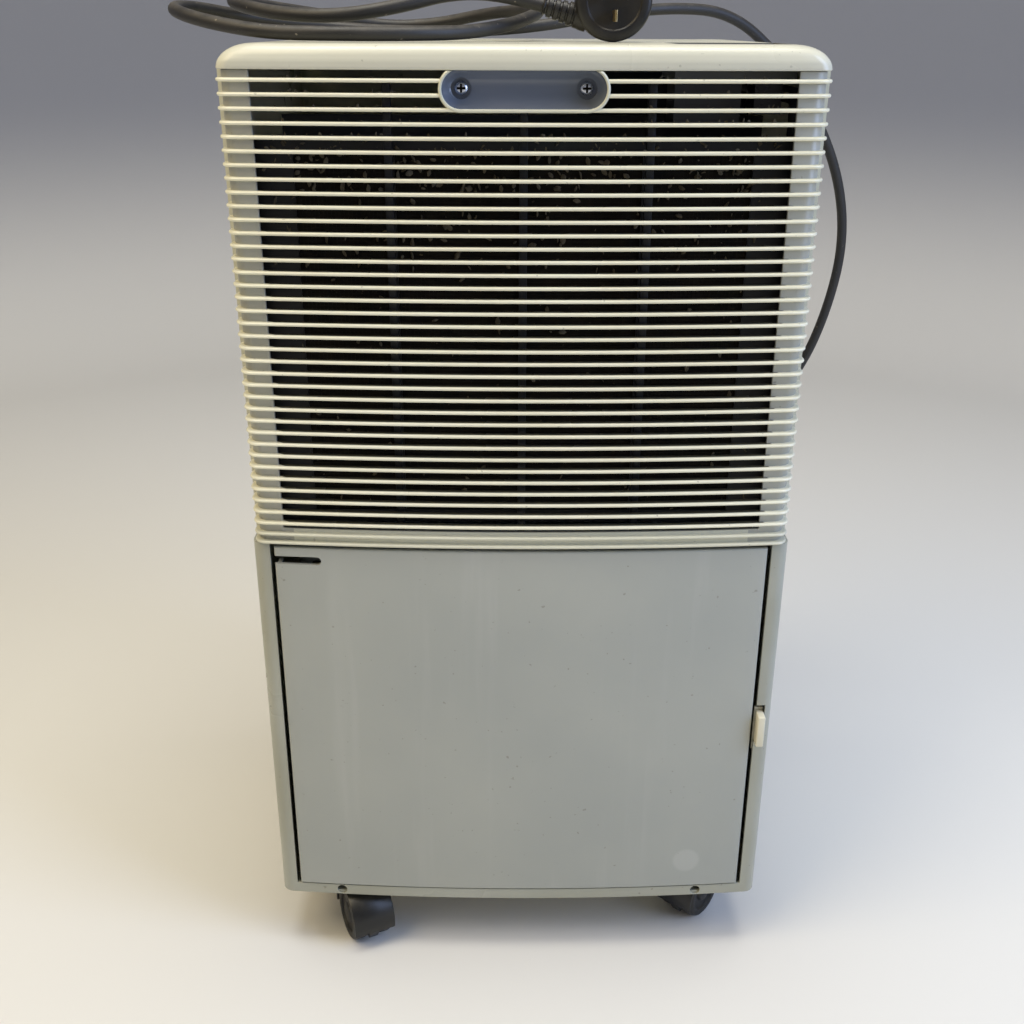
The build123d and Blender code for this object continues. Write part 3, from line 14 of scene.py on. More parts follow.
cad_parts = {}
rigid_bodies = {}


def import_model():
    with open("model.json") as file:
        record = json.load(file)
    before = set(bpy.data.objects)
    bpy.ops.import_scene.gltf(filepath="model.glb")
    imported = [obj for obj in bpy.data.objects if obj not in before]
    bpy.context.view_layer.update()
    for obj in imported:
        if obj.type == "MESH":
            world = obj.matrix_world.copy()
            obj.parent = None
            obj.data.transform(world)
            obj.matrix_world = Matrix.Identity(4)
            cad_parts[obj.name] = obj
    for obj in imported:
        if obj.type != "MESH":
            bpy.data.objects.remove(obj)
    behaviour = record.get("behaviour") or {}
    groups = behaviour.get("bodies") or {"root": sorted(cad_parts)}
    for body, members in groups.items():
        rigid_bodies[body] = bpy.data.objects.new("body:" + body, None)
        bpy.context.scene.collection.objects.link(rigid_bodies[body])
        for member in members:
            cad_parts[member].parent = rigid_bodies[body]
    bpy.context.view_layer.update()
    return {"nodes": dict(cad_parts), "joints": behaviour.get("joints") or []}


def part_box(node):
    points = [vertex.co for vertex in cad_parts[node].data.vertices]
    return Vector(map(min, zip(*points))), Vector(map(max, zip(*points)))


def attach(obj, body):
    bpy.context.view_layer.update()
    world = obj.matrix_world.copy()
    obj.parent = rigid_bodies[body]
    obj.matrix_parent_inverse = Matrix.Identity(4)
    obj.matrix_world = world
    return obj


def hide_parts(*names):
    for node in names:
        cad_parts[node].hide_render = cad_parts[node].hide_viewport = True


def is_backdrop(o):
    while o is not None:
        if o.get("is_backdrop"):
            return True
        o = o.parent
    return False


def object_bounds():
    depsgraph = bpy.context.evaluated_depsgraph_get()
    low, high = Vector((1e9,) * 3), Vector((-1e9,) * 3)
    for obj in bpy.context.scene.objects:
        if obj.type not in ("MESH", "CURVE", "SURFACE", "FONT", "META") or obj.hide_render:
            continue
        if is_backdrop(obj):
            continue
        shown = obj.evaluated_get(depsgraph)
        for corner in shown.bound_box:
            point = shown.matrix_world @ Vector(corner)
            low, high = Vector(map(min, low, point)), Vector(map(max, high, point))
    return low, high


for thing in list(bpy.data.objects):
    bpy.data.objects.remove(thing)
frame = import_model()
joints = {joint["name"]: joint for joint in frame["joints"]}
MM = 0.001

# %% [markdown]
# A few helpers serve every cell. Colours are written as the sRGB hex a paint chart gives, and Blender
# shades in linear light, so one function converts them. One function adds any shader or geometry node
# with its settings and links. One function turns live modifiers into plain mesh at the end of a piece.

# %% Helpers for colours, nodes and finished meshes
def linear(code):
    """An sRGB hex colour as linear red, green, blue and alpha."""
    shares = [int(code[i:i + 2], 16) / 255 for i in (1, 3, 5)]
    return [s / 12.92 if s <= 0.04045 else ((s + 0.055) / 1.055) ** 2.4 for s in shares] + [1.0]


def add(tree, kind, values=None, links=None, **settings):
    """Adds a node: settings are its properties, values its sockets, links (node, output) pairs."""
    node = tree.nodes.new(kind)
    for name, value in settings.items():
        setattr(node, name, value)
    for socket, value in (values or {}).items():
        node.inputs[socket].default_value = value
    for socket, (source, output) in (links or {}).items():
        tree.links.new(source.outputs[output], node.inputs[socket])
    return node


def new_material(name):
    """A material, its tree, its shader and the piece's own coordinates."""
    material = bpy.data.materials.new(name)
    material.use_nodes = True
    tree = material.node_tree
    return material, tree, tree.nodes["Principled BSDF"], add(tree, "ShaderNodeTexCoord")


def settle(piece):
    """Replaces a piece's live modifiers by the mesh that they give."""
    bpy.context.view_layer.update()
    graph = bpy.context.evaluated_depsgraph_get()
    mesh = bpy.data.meshes.new_from_object(piece.evaluated_get(graph))
    piece.modifiers.clear()
    piece.data = mesh
    smooth(piece)
    return piece


def smooth(piece, sharp_angle=32):
    """Shades a piece smoothly, with crisp edges where faces meet at more than the angle."""
    piece.data.shade_smooth()
    piece.data.set_sharp_from_angle(angle=radians(sharp_angle))


def piece_from(name, points, faces, finish):
    """A mesh object at the origin, its normals turned outwards."""
    mesh = bpy.data.meshes.new(name)
    mesh.from_pydata([tuple(p) for p in points], [], faces)
    shape = bmesh.new()
    shape.from_mesh(mesh)
    bmesh.ops.remove_doubles(shape, verts=shape.verts, dist=1e-6)
    bmesh.ops.recalc_face_normals(shape, faces=shape.faces)
    shape.to_mesh(mesh)
    shape.free()
    piece = bpy.data.objects.new(name, mesh)
    bpy.context.scene.collection.objects.link(piece)
    if finish:
        mesh.materials.append(finish)
    smooth(piece)
    return piece


def cut(piece, cutter):
    """Takes the cutter's shape out of the piece, and removes the cutter."""
    modifier = piece.modifiers.new("cut", "BOOLEAN")
    modifier.operation, modifier.solver, modifier.object = "DIFFERENCE", "EXACT", cutter
    settle(piece)
    bpy.data.objects.remove(cutter)
    return piece


def install(piece, body, slot, *nodes):
    """Rides the piece on its body and lets it stand for CAD nodes."""
    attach(piece, body)
    if nodes:
        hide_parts(*nodes)
    print(piece.name, len(piece.data.polygons) if piece.type == "MESH" else "curve", "faces")
    return piece

# %% [markdown]
# The camera stands a little above the lid and looks down by about 23 degrees, as someone who holds a
# telephone at chest height. A 41 mm lens on a 36 mm sensor is a normal view: it tapers the body only a
# little. The camera's axes are worked out from its three angles, because a Track To constraint would
# lose the small roll.

# %% Camera
def aimed(yaw, pitch, roll):
    """The camera's turn, from degrees towards +X, downwards and clockwise."""
    yaw, pitch, roll = radians(yaw), radians(pitch), radians(roll)
    ahead = Vector((sin(yaw) * cos(pitch), cos(yaw) * cos(pitch), -sin(pitch)))
    right = Vector((cos(yaw), -sin(yaw), 0))
    up = right.cross(ahead)
    tilted_right = right * cos(roll) + up * sin(roll)
    tilted_up = up * cos(roll) - right * sin(roll)
    return Matrix((tilted_right, tilted_up, -ahead)).transposed()


LENS, SENSOR_WIDTH = 41.07, 36.0
CAMERA_PLACE = (-7.4, -810.7, 623.1)
YAW, PITCH, ROLL = 0.14, 22.61, 0.206
camera_data = bpy.data.cameras.new("camera")
camera_data.lens = LENS
camera_data.sensor_width = SENSOR_WIDTH
camera = bpy.data.objects.new("camera", camera_data)
bpy.context.scene.collection.objects.link(camera)
camera.matrix_world = Matrix.Translation(Vector(CAMERA_PLACE) * MM) @ aimed(YAW, PITCH, ROLL).to_4x4()
bpy.context.scene.camera = camera
print("camera stands at", [round(v, 3) for v in camera.location])

# %% [markdown]
# The floor and the wall are one plain surface turned about the upright axis, like a studio's cove. A
# round cove has no corner, so every view has the same quiet ground behind it. It could be a bent plane,
# but then a view from behind would look past its edge.

# %% Floor and backdrop
def turned(name, profile, finish, steps=96):
    """A surface of revolution about Z from (radius, height) points."""
    points, faces = [(0, 0, profile[0][1])], []
    for radius, height in profile[1:]:
        for i in range(steps):
            points.append((radius * cos(2 * pi * i / steps), radius * sin(2 * pi * i / steps), height))
    for i in range(steps):
        j = (i + 1) % steps
        faces.append((0, 1 + i, 1 + j))
        for ring in range(len(profile) - 2):
            low, high = 1 + ring * steps, 1 + (ring + 1) * steps
            faces.append((low + i, high + i, high + j, low + j))
    return piece_from(name, points, faces, finish)


def matt_paint(name, floor_hex, wall_hex):
    """Emulsion paint: no gloss, one tone on the floor that turns into another up the wall."""
    material, tree, shader, place = new_material(name)
    shader.inputs["Roughness"].default_value = 0.85
    shader.inputs["Specular IOR Level"].default_value = 0.25
    split = add(tree, "ShaderNodeSeparateXYZ", links={0: (place, "Object")})
    share = add(tree, "ShaderNodeMapRange", {"From Min": 0.0, "From Max": 0.5}, {"Value": (split, "Z")},
                interpolation_type="SMOOTHSTEP")
    toned = add(tree, "ShaderNodeMix", {6: linear(floor_hex), 7: linear(wall_hex)},
                  {0: (share, "Result")}, data_type="RGBA")
    tree.links.new(toned.outputs[2], shader.inputs["Base Color"])
    return material


FLOOR_RADIUS, COVE_RADIUS, WALL_TOP = 1.5, 0.6, 2.6
cove_profile = [(0, 0), (0.4, 0), (0.9, 0), (FLOOR_RADIUS, 0)]
for i in range(1, 13):
    turn = radians(90 * i / 12)
    cove_profile.append((FLOOR_RADIUS + COVE_RADIUS * sin(turn), COVE_RADIUS * (1 - cos(turn))))
cove_profile.append((FLOOR_RADIUS + COVE_RADIUS, WALL_TOP))
cove = turned("cove", cove_profile, matt_paint("studio paint", "#DEDCD6", "#8E9098"))
cove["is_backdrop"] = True

# %% [markdown]
# The light is plain and soft: a broad warm lamp from the upper left, a broad cool one from the right
# like a window, and one from above that draws the slats' upper edges. Area lamps give wide, soft
# highlights on satin plastic; point lamps would give hard dots.

# %% Lights
def softbox(name, place, aim, size, watts, tint):
    """A rectangular area lamp that faces a point."""
    light = bpy.data.lights.new(name, "AREA")
    light.shape, light.size, light.size_y = "RECTANGLE", *size
    light.energy = watts
    light.color = linear(tint)[:3]
    lamp = bpy.data.objects.new(name, light)
    bpy.context.scene.collection.objects.link(lamp)
    lamp.location = place
    lamp.rotation_euler = (Vector(aim) - Vector(place)).to_track_quat("-Z", "Y").to_euler()


softbox("warm key", (-1.05, -0.75, 1.75), (0, 0, 0.35), (1.2, 1.0), 18, "#FFEABF")
softbox("cool window", (1.25, -0.7, 1.1), (0, 0, 0.35), (0.8, 1.3), 19, "#BFD4FF")
softbox("top light", (0.0, -0.15, 2.2), (0, 0, 0.4), (1.3, 0.9), 27, "#FFFDF4")
world = bpy.data.worlds.new("room")
world.use_nodes = True
world.node_tree.nodes["Background"].inputs["Color"].default_value = linear("#E8EAF0")
world.node_tree.nodes["Background"].inputs["Strength"].default_value = 0.35
bpy.context.scene.world = world
bpy.context.scene.view_settings.view_transform = "Standard"
print("lamps", [lamp.name for lamp in bpy.data.lights])

# %% [markdown]
# Most of this machine is moulded plastic, so one function builds its shader. Injection-moulded ABS
# takes the fine texture of its steel tool, its colour drifts a little as it ages, thumbs polish it in
# patches, and dust settles on what faces up. All of that comes from noise on Object coordinates in real
# millimetres. An image texture would need UVs on fifty pieces.

# %% Moulded plastic
def moulded(name, main, aged, roughness, blotch_mm=70, grain_mm=1.2, relief_mm=0.012, dust=0.0,
            dust_hex="#9A9484", specular=0.5, speck=0.0, speck_hex="#5E5949"):
    """Moulded plastic with aged blotches, tool grain, specks of dirt and settled dust."""
    speck_mm, patch_mm = 3.2, 9
    material, tree, shader, place = new_material(name)
    shader.inputs["IOR"].default_value = 1.5
    shader.inputs["Specular IOR Level"].default_value = specular
    blotches = add(tree, "ShaderNodeTexNoise",
                   {"Scale": 1 / (blotch_mm * MM), "Detail": 3.0, "Roughness": 0.5},
                   {"Vector": (place, "Object")})
    share = add(tree, "ShaderNodeMapRange", {"From Min": 0.25, "From Max": 0.75},
                {"Value": (blotches, "Fac")}, interpolation_type="SMOOTHSTEP")
    tone = add(tree, "ShaderNodeMix", {6: linear(main), 7: linear(aged)}, {0: (share, "Result")},
               data_type="RGBA")
    if speck:
        dots = add(tree, "ShaderNodeTexNoise", {"Scale": 1 / (speck_mm * MM), "Detail": 1.0},
                   {"Vector": (place, "Object")})
        few = add(tree, "ShaderNodeMapRange", {"From Min": 0.74, "From Max": 0.80, "To Max": speck},
                  {"Value": (dots, "Fac")}, interpolation_type="SMOOTHSTEP")
        tone = add(tree, "ShaderNodeMix", {7: linear(speck_hex)}, {0: (few, "Result"), 6: (tone, 2)},
                   data_type="RGBA")
    if dust:
        facing = add(tree, "ShaderNodeNewGeometry")
        upward = add(tree, "ShaderNodeSeparateXYZ", links={0: (facing, "Normal")})
        lying = add(tree, "ShaderNodeMapRange", {"From Min": 0.2, "From Max": 0.95, "To Max": dust},
                    {"Value": (upward, "Z")}, interpolation_type="SMOOTHSTEP")
        patches = add(tree, "ShaderNodeTexNoise",
                      {"Scale": 1 / (patch_mm * MM), "Detail": 6.0, "Roughness": 0.7},
                      {"Vector": (place, "Object")})
        uneven = add(tree, "ShaderNodeMapRange", {"From Min": 0.3, "From Max": 0.7},
                     {"Value": (patches, "Fac")})
        amount = add(tree, "ShaderNodeMath", links={0: (lying, "Result"), 1: (uneven, "Result")},
                     operation="MULTIPLY")
        tone = add(tree, "ShaderNodeMix", {7: linear(dust_hex)}, {0: (amount, "Value"), 6: (tone, 2)},
                   data_type="RGBA")
    tree.links.new(tone.outputs[2], shader.inputs["Base Color"])
    rubbed = add(tree, "ShaderNodeMapRange",
                 {"From Min": 0.3, "From Max": 0.7, "To Min": roughness - 0.05,
                                              "To Max": roughness + 0.07}, {"Value": (blotches, "Fac")})
    tree.links.new(rubbed.outputs["Result"], shader.inputs["Roughness"])
    grain = add(tree, "ShaderNodeTexNoise", {"Scale": 1 / (grain_mm * MM), "Detail": 2.0},
                {"Vector": (place, "Object")})
    bump = add(tree, "ShaderNodeBump", {"Strength": 1.0, "Distance": relief_mm * MM},
               {"Height": (grain, "Fac")})
    tree.links.new(bump.outputs["Normal"], shader.inputs["Normal"])
    return material

# %% [markdown]
# The lead is a round PVC sheath, black once and now dusty. It is one NURBS curve through the air: it
# leaves the rear low down, bulges past the right side, comes over the lid's rear edge and lies in loose
# turns. Control points pull the curve without touching it, which gives the slow bends of a stiff lead.
# A path drawn through every point would kink at each of them.

# %% Mains lead
LEAD_RADIUS = 4.0
LEAD_ROUTE = [
    (110, 178, 190), (110, 204, 190), (121, 231, 202), (150, 244, 228), (192, 243, 258), (230, 235, 291),
    (259, 223, 337), (274, 212, 395), (279, 204, 452), (267, 195, 506), (240, 183, 556), (204, 168, 600),
    (160, 149, 633), (108, 123, 636), (52, 100, 629), (8, 86, 622), (-40, 80, 619), (-90, 78, 619),
    (-140, 68, 622), (-186, 44, 628), (-214, 6, 634), (-216, -36, 632), (-188, -70, 625),
    (-148, -88, 619), (-106, -93, 618.5), (-66, -86, 618.5), (-34, -66, 619), (-9, -38, 623),
    (8, -6, 629), (12, 28, 633), (2, 62, 633), (-24, 92, 631), (-60, 108, 624), (-98, 110, 622),
    (-136, 95, 629), (-163, 66, 633), (-180, 32, 636), (-184, -6, 638), (-172, -42, 634),
    (-144, -66, 629), (-108, -77, 627.5), (-72, -72, 633), (-42, -60, 641), (-11.4, -46, 640.4),
    (11.8, -46, 634.2),
]
lead_pvc = moulded("dusty black PVC sheath", "#1B1A19", "#262422", 0.52, blotch_mm=25, grain_mm=2.5,
                   relief_mm=0.05, dust=0.42, dust_hex="#6E675B", speck=0.6, speck_hex="#8A8172")
lead_curve = bpy.data.curves.new("mains_lead_curve", "CURVE")
lead_curve.dimensions = "3D"
lead_curve.bevel_depth = LEAD_RADIUS * MM
lead_curve.bevel_resolution = 5
lead_curve.use_fill_caps = True
lead_curve.resolution_u = 10
run = lead_curve.splines.new("NURBS")
run.points.add(len(LEAD_ROUTE) - 1)
for point, place in zip(run.points, LEAD_ROUTE):
    point.co = (*(Vector(place) * MM), 1)
run.order_u = 3
run.use_endpoint_u = True
lead_curve.materials.append(lead_pvc)
lead = bpy.data.objects.new("mains_lead_run", lead_curve)
bpy.context.scene.collection.objects.link(lead)
install(lead, "root", "lead_sheath", "mains_lead")

# %% [markdown]
# The plug is a round moulded body that stands on its rim, with a raised grip band, a sunk face round
# three flat brass blades, and a ribbed relief where the lead goes in. Its body is a profile turned about
# the pins' axis, which a lathe or the Spin tool does; here the rings are written out, so that the seams
# close.

# %% Plug body, relief and the lead's strain relief
def lathe(name, profile, origin, axis, finish, steps=48):
    """Turns (radius, distance along the axis) points about an axis; radius 0 closes an end."""
    axis = Vector(axis).normalized()
    side = axis.orthogonal().normalized()
    other = axis.cross(side)
    points, faces, rings = [], [], []
    for radius, along in profile:
        middle = Vector(origin) + axis * along
        ring = []
        for i in range(steps if radius > 0 else 1):
            turn = 2 * pi * i / steps
            points.append(middle + (side * cos(turn) + other * sin(turn)) * radius)
            ring.append(len(points) - 1)
        rings.append(ring)
    for first, second in zip(rings, rings[1:]):
        for i in range(steps):
            j = (i + 1) % steps
            quad = [first[i % len(first)], first[j % len(first)], second[j % len(second)],
                    second[i % len(second)]]
            quad = list(dict.fromkeys(quad))
            if len(quad) > 2:
                faces.append(quad)
    return piece_from(name, points, faces, finish)


def joined(name, pieces):
    """Several meshes as one piece."""
    joint = bmesh.new()
    for part in pieces:
        joint.from_mesh(part.data)
    mesh = bpy.data.meshes.new(name)
    joint.to_mesh(mesh)
    joint.free()
    for material in pieces[0].data.materials:
        mesh.materials.append(material)
    piece = bpy.data.objects.new(name, mesh)
    bpy.context.scene.collection.objects.link(piece)
    for part in pieces:
        bpy.data.objects.remove(part)
    smooth(piece)
    return piece


def scaled(profile):
    return [(a * MM, b * MM) for a, b in profile]


def ribbed(start, pitch, girth, taper, width, groove, reach):
    """Five rings of a strain relief as (radius, distance) points, each thinner than the last."""
    points = []
    for rib in range(5):
        near, radius = start + pitch * rib, girth - taper * (rib + 0.5)
        points += [(radius, near), (radius, near + width), (radius - groove, near + width + 0.5),
                   (radius - groove - 0.1, near + reach)]
    return points


def centre_of(node):
    low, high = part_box(node)
    return (low + high) / 2


plug_rubber = moulded("moulded black PVC plug", "#161514", "#201E1C", 0.42, blotch_mm=18, grain_mm=1.0,
                      relief_mm=0.02, dust=0.30, dust_hex="#6A6458")
plug_low, plug_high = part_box("plug_body")
plug_face = plug_low.y
plug_back = plug_high.y
PLUG_RADIUS = 23.0
RELIEF_SUNK, RELIEF_DROP, RELIEF_TILT = 4.0, 9.0, 15.0
plug_x = plug_high.x - PLUG_RADIUS * MM
plug_z = plug_high.z - PLUG_RADIUS * MM
thick = (plug_back - plug_face) / MM
body_profile = [(0, 1.2), (15.5, 1.2), (16.2, 0.9), (16.8, 0.15), (17.6, 0.0), (20.2, 0.0), (21.6, 0.5),
                (22.5, 1.6), (22.9, 3.2), (22.9, 7.6), (22.3, 8.2), (22.3, 9.2), (22.9, 9.8),
                (22.9, 13.0),
                (22.3, 13.6), (22.3, 14.6), (22.9, 15.2), (22.7, 17.2), (21.8, 18.8),
                (20.0, thick - 0.3),
                (18.0, thick), (9.0, thick), (8.0, thick - 0.8), (0, thick - 0.8)]
plug_disc = lathe("plug_disc", scaled(body_profile), (plug_x, plug_face, plug_z), (0, 1, 0), plug_rubber,
                  72)
relief_root = Vector((plug_x - (PLUG_RADIUS - RELIEF_SUNK) * MM, (plug_face + plug_back) / 2,
                      plug_z - RELIEF_DROP * MM))
relief_way = Vector((-cos(radians(RELIEF_TILT)), 0, sin(radians(RELIEF_TILT))))
relief_profile = [(0, -RELIEF_SUNK), (7.6, -RELIEF_SUNK), (7.6, 0),
                  *ribbed(1.5, 4.2, 7.4, 0.38, 2.4, 1.2, 3.8), (5.2, 23.2), (4.3, 23.9), (0, 23.9)]
plug_relief = lathe("plug_relief", scaled(relief_profile), relief_root, relief_way, plug_rubber, 36)
plug = joined("plug", [plug_disc, plug_relief])
install(plug, "root", "plug_black", "plug_body")

gland_low, gland_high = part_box("cord_gland")
gland_x, gland_z = centre_of("cord_gland").x, centre_of("cord_gland").z
rear_face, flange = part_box("cabinet")[1].y, (gland_high.x - gland_x) / MM
inside = (gland_low.y - rear_face) / MM
GLAND_RADIUS, FLANGE_THICK = 8.3, 2.8
gland_profile = [(0, inside), (flange, inside), (flange, inside + FLANGE_THICK),
                 (GLAND_RADIUS, inside + FLANGE_THICK), (GLAND_RADIUS, 1.0),
                 *ribbed(2.0, 5.4, GLAND_RADIUS, 0.52, 3.4, 1.0, 4.9), (5.5, 29.2), (4.6, 29.9),
                 (0, 29.9)]
relief = lathe("lead_relief", scaled(gland_profile), (gland_x, rear_face, gland_z), (0, 1, 0),
               plug_rubber, 36)
install(relief, "root", "plug_black", "cord_gland")

# %% [markdown]
# The body's plan has a gently bowed front, straight sides and small upright corners. Lid, slats, frame
# and cabinet all follow it at their own insets. One function gives the plan as points and one joins rows
# of points into faces, so neighbouring parts agree exactly. Sketching each part apart would leave
# uneven gaps.

# %% Plan line and loft
BULGE, CORNER = 8.0, 8.0
SIDE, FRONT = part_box("cabinet")[1].x / MM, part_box("front_grille")[0].y / MM
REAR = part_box("cabinet")[1].y / MM
CORNER_STEPS, BOW_STEPS = 8, 40


def arc(centre_x, centre_y, radius, start, end, steps):
    turns = [radians(start + (end - start) * i / steps) for i in range(steps + 1)]
    return [(centre_x + radius * cos(t), centre_y + radius * sin(t)) for t in turns]


def front_line(side_inset, front_inset, back_y, corner=CORNER):
    """The plan from the left side, round the bowed front, to the right side, in millimetres."""
    half = SIDE - side_inset
    bow = (half * half + BULGE * BULGE) / (2 * BULGE)
    bow_y = FRONT + front_inset + bow
    corner = max(corner, 0.4)
    corner_y = bow_y - sqrt((bow - corner) ** 2 - (half - corner) ** 2)
    lean = degrees(atan2(half - corner, bow_y - corner_y))
    left = arc(-half + corner, corner_y, corner, 180, 270 - lean, CORNER_STEPS)
    front = arc(0, bow_y, bow, 270 - lean, 270 + lean, BOW_STEPS)[1:-1]
    right = arc(half - corner, corner_y, corner, 270 + lean, 360, CORNER_STEPS)
    return [(-half, back_y), *left, *front, *right, (half, back_y)]


def whole_line(side_inset, front_inset, rear_inset, corner=CORNER):
    """The whole plan as a closed row."""
    half, back, corner = SIDE - side_inset, REAR - rear_inset, max(corner, 0.4)
    front = front_line(side_inset, front_inset, 0.0, corner)[1:-1]
    right = arc(half - corner, back - corner, corner, 0, 90, CORNER_STEPS)
    left = arc(-half + corner, back - corner, corner, 90, 180, CORNER_STEPS)
    return front + right + left


def loft(name, rows, finish, closed_rows=False, closed_section=False, caps=True):
    """Faces between rows of equally many points; the rows and the section may each be closed."""
    count = len(rows[0])
    points = [Vector(p) * MM for row in rows for p in row]
    faces = []
    pairs = len(rows) if closed_section else len(rows) - 1
    for r in range(pairs):
        a, b = r * count, (r + 1) % len(rows) * count
        for i in range(count if closed_rows else count - 1):
            j = (i + 1) % count
            faces.append((a + i, a + j, b + j, b + i))
    if caps and closed_section and not closed_rows:
        faces.append([r * count for r in range(len(rows))])
        faces.append([r * count + count - 1 for r in range(len(rows))])
    if caps and closed_rows and not closed_section:
        faces.append(list(range(count)))
        faces.append([(len(rows) - 1) * count + i for i in range(count)])
    return piece_from(name, points, faces, finish)


def at_height(line, z):
    return [(x, y, z) for x, y in line]


def box_shape(name, low, high):
    """A plain block, used only to cut with."""
    (x0, y0, z0), (x1, y1, z1) = low, high
    points = [Vector(p) * MM for p in [(x0, y0, z0), (x1, y0, z0), (x1, y1, z0), (x0, y1, z0),
                                       (x0, y0, z1), (x1, y0, z1), (x1, y1, z1), (x0, y1, z1)]]
    faces = [(0, 3, 2, 1), (4, 5, 6, 7), (0, 1, 5, 4), (1, 2, 6, 5), (2, 3, 7, 6), (3, 0, 4, 7)]
    return piece_from(name, points, faces, None)


def softened(piece, width, segments=3, angle=40):
    """Rounds a piece's edges as a moulding tool does."""
    modifier = piece.modifiers.new("soften", "BEVEL")
    modifier.width, modifier.segments = width * MM, segments
    modifier.limit_method, modifier.angle_limit = "ANGLE", radians(angle)
    settle(piece)
    smooth(piece, 20)
    return piece


print("body: half width", SIDE, "front", round(FRONT, 1), "rear", round(REAR, 1))

# %% [markdown]
# The lid is a shallow cap in aged cream ABS. Its front edge is a short flat band under a small round, and
# at the sides the top falls away in a wide curve, so the rings that build it have one inset for the
# sides and another for the front. A bevel has the same width all round and can't do that. The pocket
# for the controls is cut out of it afterwards.

# %% Lid
cream = moulded("aged cream ABS", "#D1D0BC", "#CDCBB4", 0.32, blotch_mm=120, grain_mm=1.6,
                relief_mm=0.010,
                speck=0.35)
lid_cream = moulded("lid, aged cream ABS", "#CFCEBD", "#CBC9B6", 0.24, blotch_mm=110, grain_mm=2.0,
                    relief_mm=0.006, dust=0.18, dust_hex="#A9A28E", speck=0.3)
lid_low, lid_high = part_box("top_cap")
LID_UNDER, LID_TOP = lid_low.z / MM, lid_high.z / MM
lid_side, lid_front = SIDE - lid_high.x / MM, lid_low.y / MM - FRONT
LID_ROUND, LID_SLOPE, SIDE_ROUND, LID_WALL, LID_FOOT, LID_STEPS = 8.0, 7.0, 19.0, 2.5, 0.6, 14
lid_rows = []
rise = LID_TOP - LID_UNDER - LID_FOOT
for step in range(LID_STEPS + 1):
    share = sin(radians(90 * step / LID_STEPS))
    z = LID_UNDER + LID_FOOT + rise * share
    side = SIDE_ROUND * (1 - sqrt(max(0.0, 1 - share * share)))
    above = z - (LID_TOP - LID_ROUND)
    front = LID_SLOPE * (1 - sqrt(max(0.0, 1 - (above / LID_ROUND) ** 2))) + 0.35 if above > 0 else 0.0
    corner = 8.0 + 4.0 * share
    lid_rows.append(at_height(whole_line(lid_side + side, lid_front + front, front, corner), z))
lid_rows.insert(0, at_height(whole_line(lid_side + 0.25, lid_front + 0.25, 0.25, 7.8), LID_UNDER + 0.15))
lid_rows.insert(0,
                at_height(whole_line(lid_side + LID_FOOT, lid_front + LID_FOOT, LID_FOOT, 7.4),
                          LID_UNDER))
lid_rows.reverse()
lid_rows.append(at_height(whole_line(lid_side + LID_WALL, lid_front + LID_WALL, LID_WALL, 6), LID_UNDER))
lid_rows.append(at_height(whole_line(lid_side + LID_WALL + 1, lid_front + LID_WALL + 1, LID_WALL, 6),
                          LID_UNDER + 4))
lid_rows.append(at_height(whole_line(lid_side + 15, lid_front + 9, 8, 6), LID_TOP - LID_WALL))
lid = loft("lid", lid_rows, lid_cream, closed_rows=True)
pocket_low, pocket_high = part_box("control_panel")
GAP = 0.3
pocket_cut = box_shape("pocket_cut", (pocket_low.x / MM - GAP, pocket_low.y / MM - GAP, LID_UNDER - 2),
                       (pocket_high.x / MM + GAP, pocket_high.y / MM + GAP, LID_TOP + 2))
cut(lid, pocket_cut)
install(lid, "root", "cream_abs", "top_cap")

# %% [markdown]
# The intake is 36 thin bars that run right round the corners. One bar is made with a bull-nosed
# section, and a Geometry Nodes tree repeats it down the front: Mesh Line gives the places, Instance on
# Points the copies, Realize Instances real mesh. An Array modifier would do the same for one row, but
# this tree serves the screws, the louvres and the net as well. Each bar carries an attribute that its
# finish reads and that darkens it behind the nose: painted shade from the bar above, with some grime.

# %% Row of copies
def open_tree(name, *inputs):
    """A tree with a Geometry input, the named inputs, a Material input and a Geometry output."""
    tree = bpy.data.node_groups.new(name, "GeometryNodeTree")
    for title, kind in (("Geometry", "Geometry"), *inputs, ("Material", "Material")):
        tree.interface.new_socket(title, in_out="INPUT", socket_type="NodeSocket" + kind)
    tree.interface.new_socket("Geometry", in_out="OUTPUT", socket_type="NodeSocketGeometry")
    return tree, add(tree, "NodeGroupInput")


def close_tree(tree, given, result):
    """Sets the tree's material on the result and gives it out."""
    painted = add(tree, "GeometryNodeSetMaterial",
                  links={"Geometry": result, "Material": (given, "Material")})
    add(tree, "NodeGroupOutput", links={"Geometry": (painted, "Geometry")})
    return tree


def row_tree():
    """Copies the given mesh in a straight row."""
    tree, given = open_tree("Row of copies", ("Count", "Int"), ("First", "Vector"), ("Step", "Vector"))
    line = add(tree, "GeometryNodeMeshLine",
               links={"Count": (given, "Count"), "Start Location": (given, "First"),
                                                    "Offset": (given, "Step")}, mode="OFFSET")
    copies = add(tree, "GeometryNodeInstanceOnPoints", links={"Points": (line, "Mesh"),
                                                              "Instance": (given, "Geometry")})
    real = add(tree, "GeometryNodeRealizeInstances", links={"Geometry": (copies, "Instances")})
    return close_tree(tree, given, (real, "Geometry"))


ROW = row_tree()


def grow(piece, tree, **inputs):
    """Runs a tree on a piece and keeps the result as plain mesh."""
    modifier = piece.modifiers.new(tree.name, "NODES")
    modifier.node_group = tree
    for item in tree.interface.items_tree:
        if item.in_out == "INPUT" and item.name in inputs:
            modifier[item.identifier] = inputs[item.name]
    return settle(piece)


def in_row(piece, count, first, step, finish):
    return grow(piece, ROW, Count=count, First=[v * MM for v in first], Step=[v * MM for v in step],
                Material=finish)


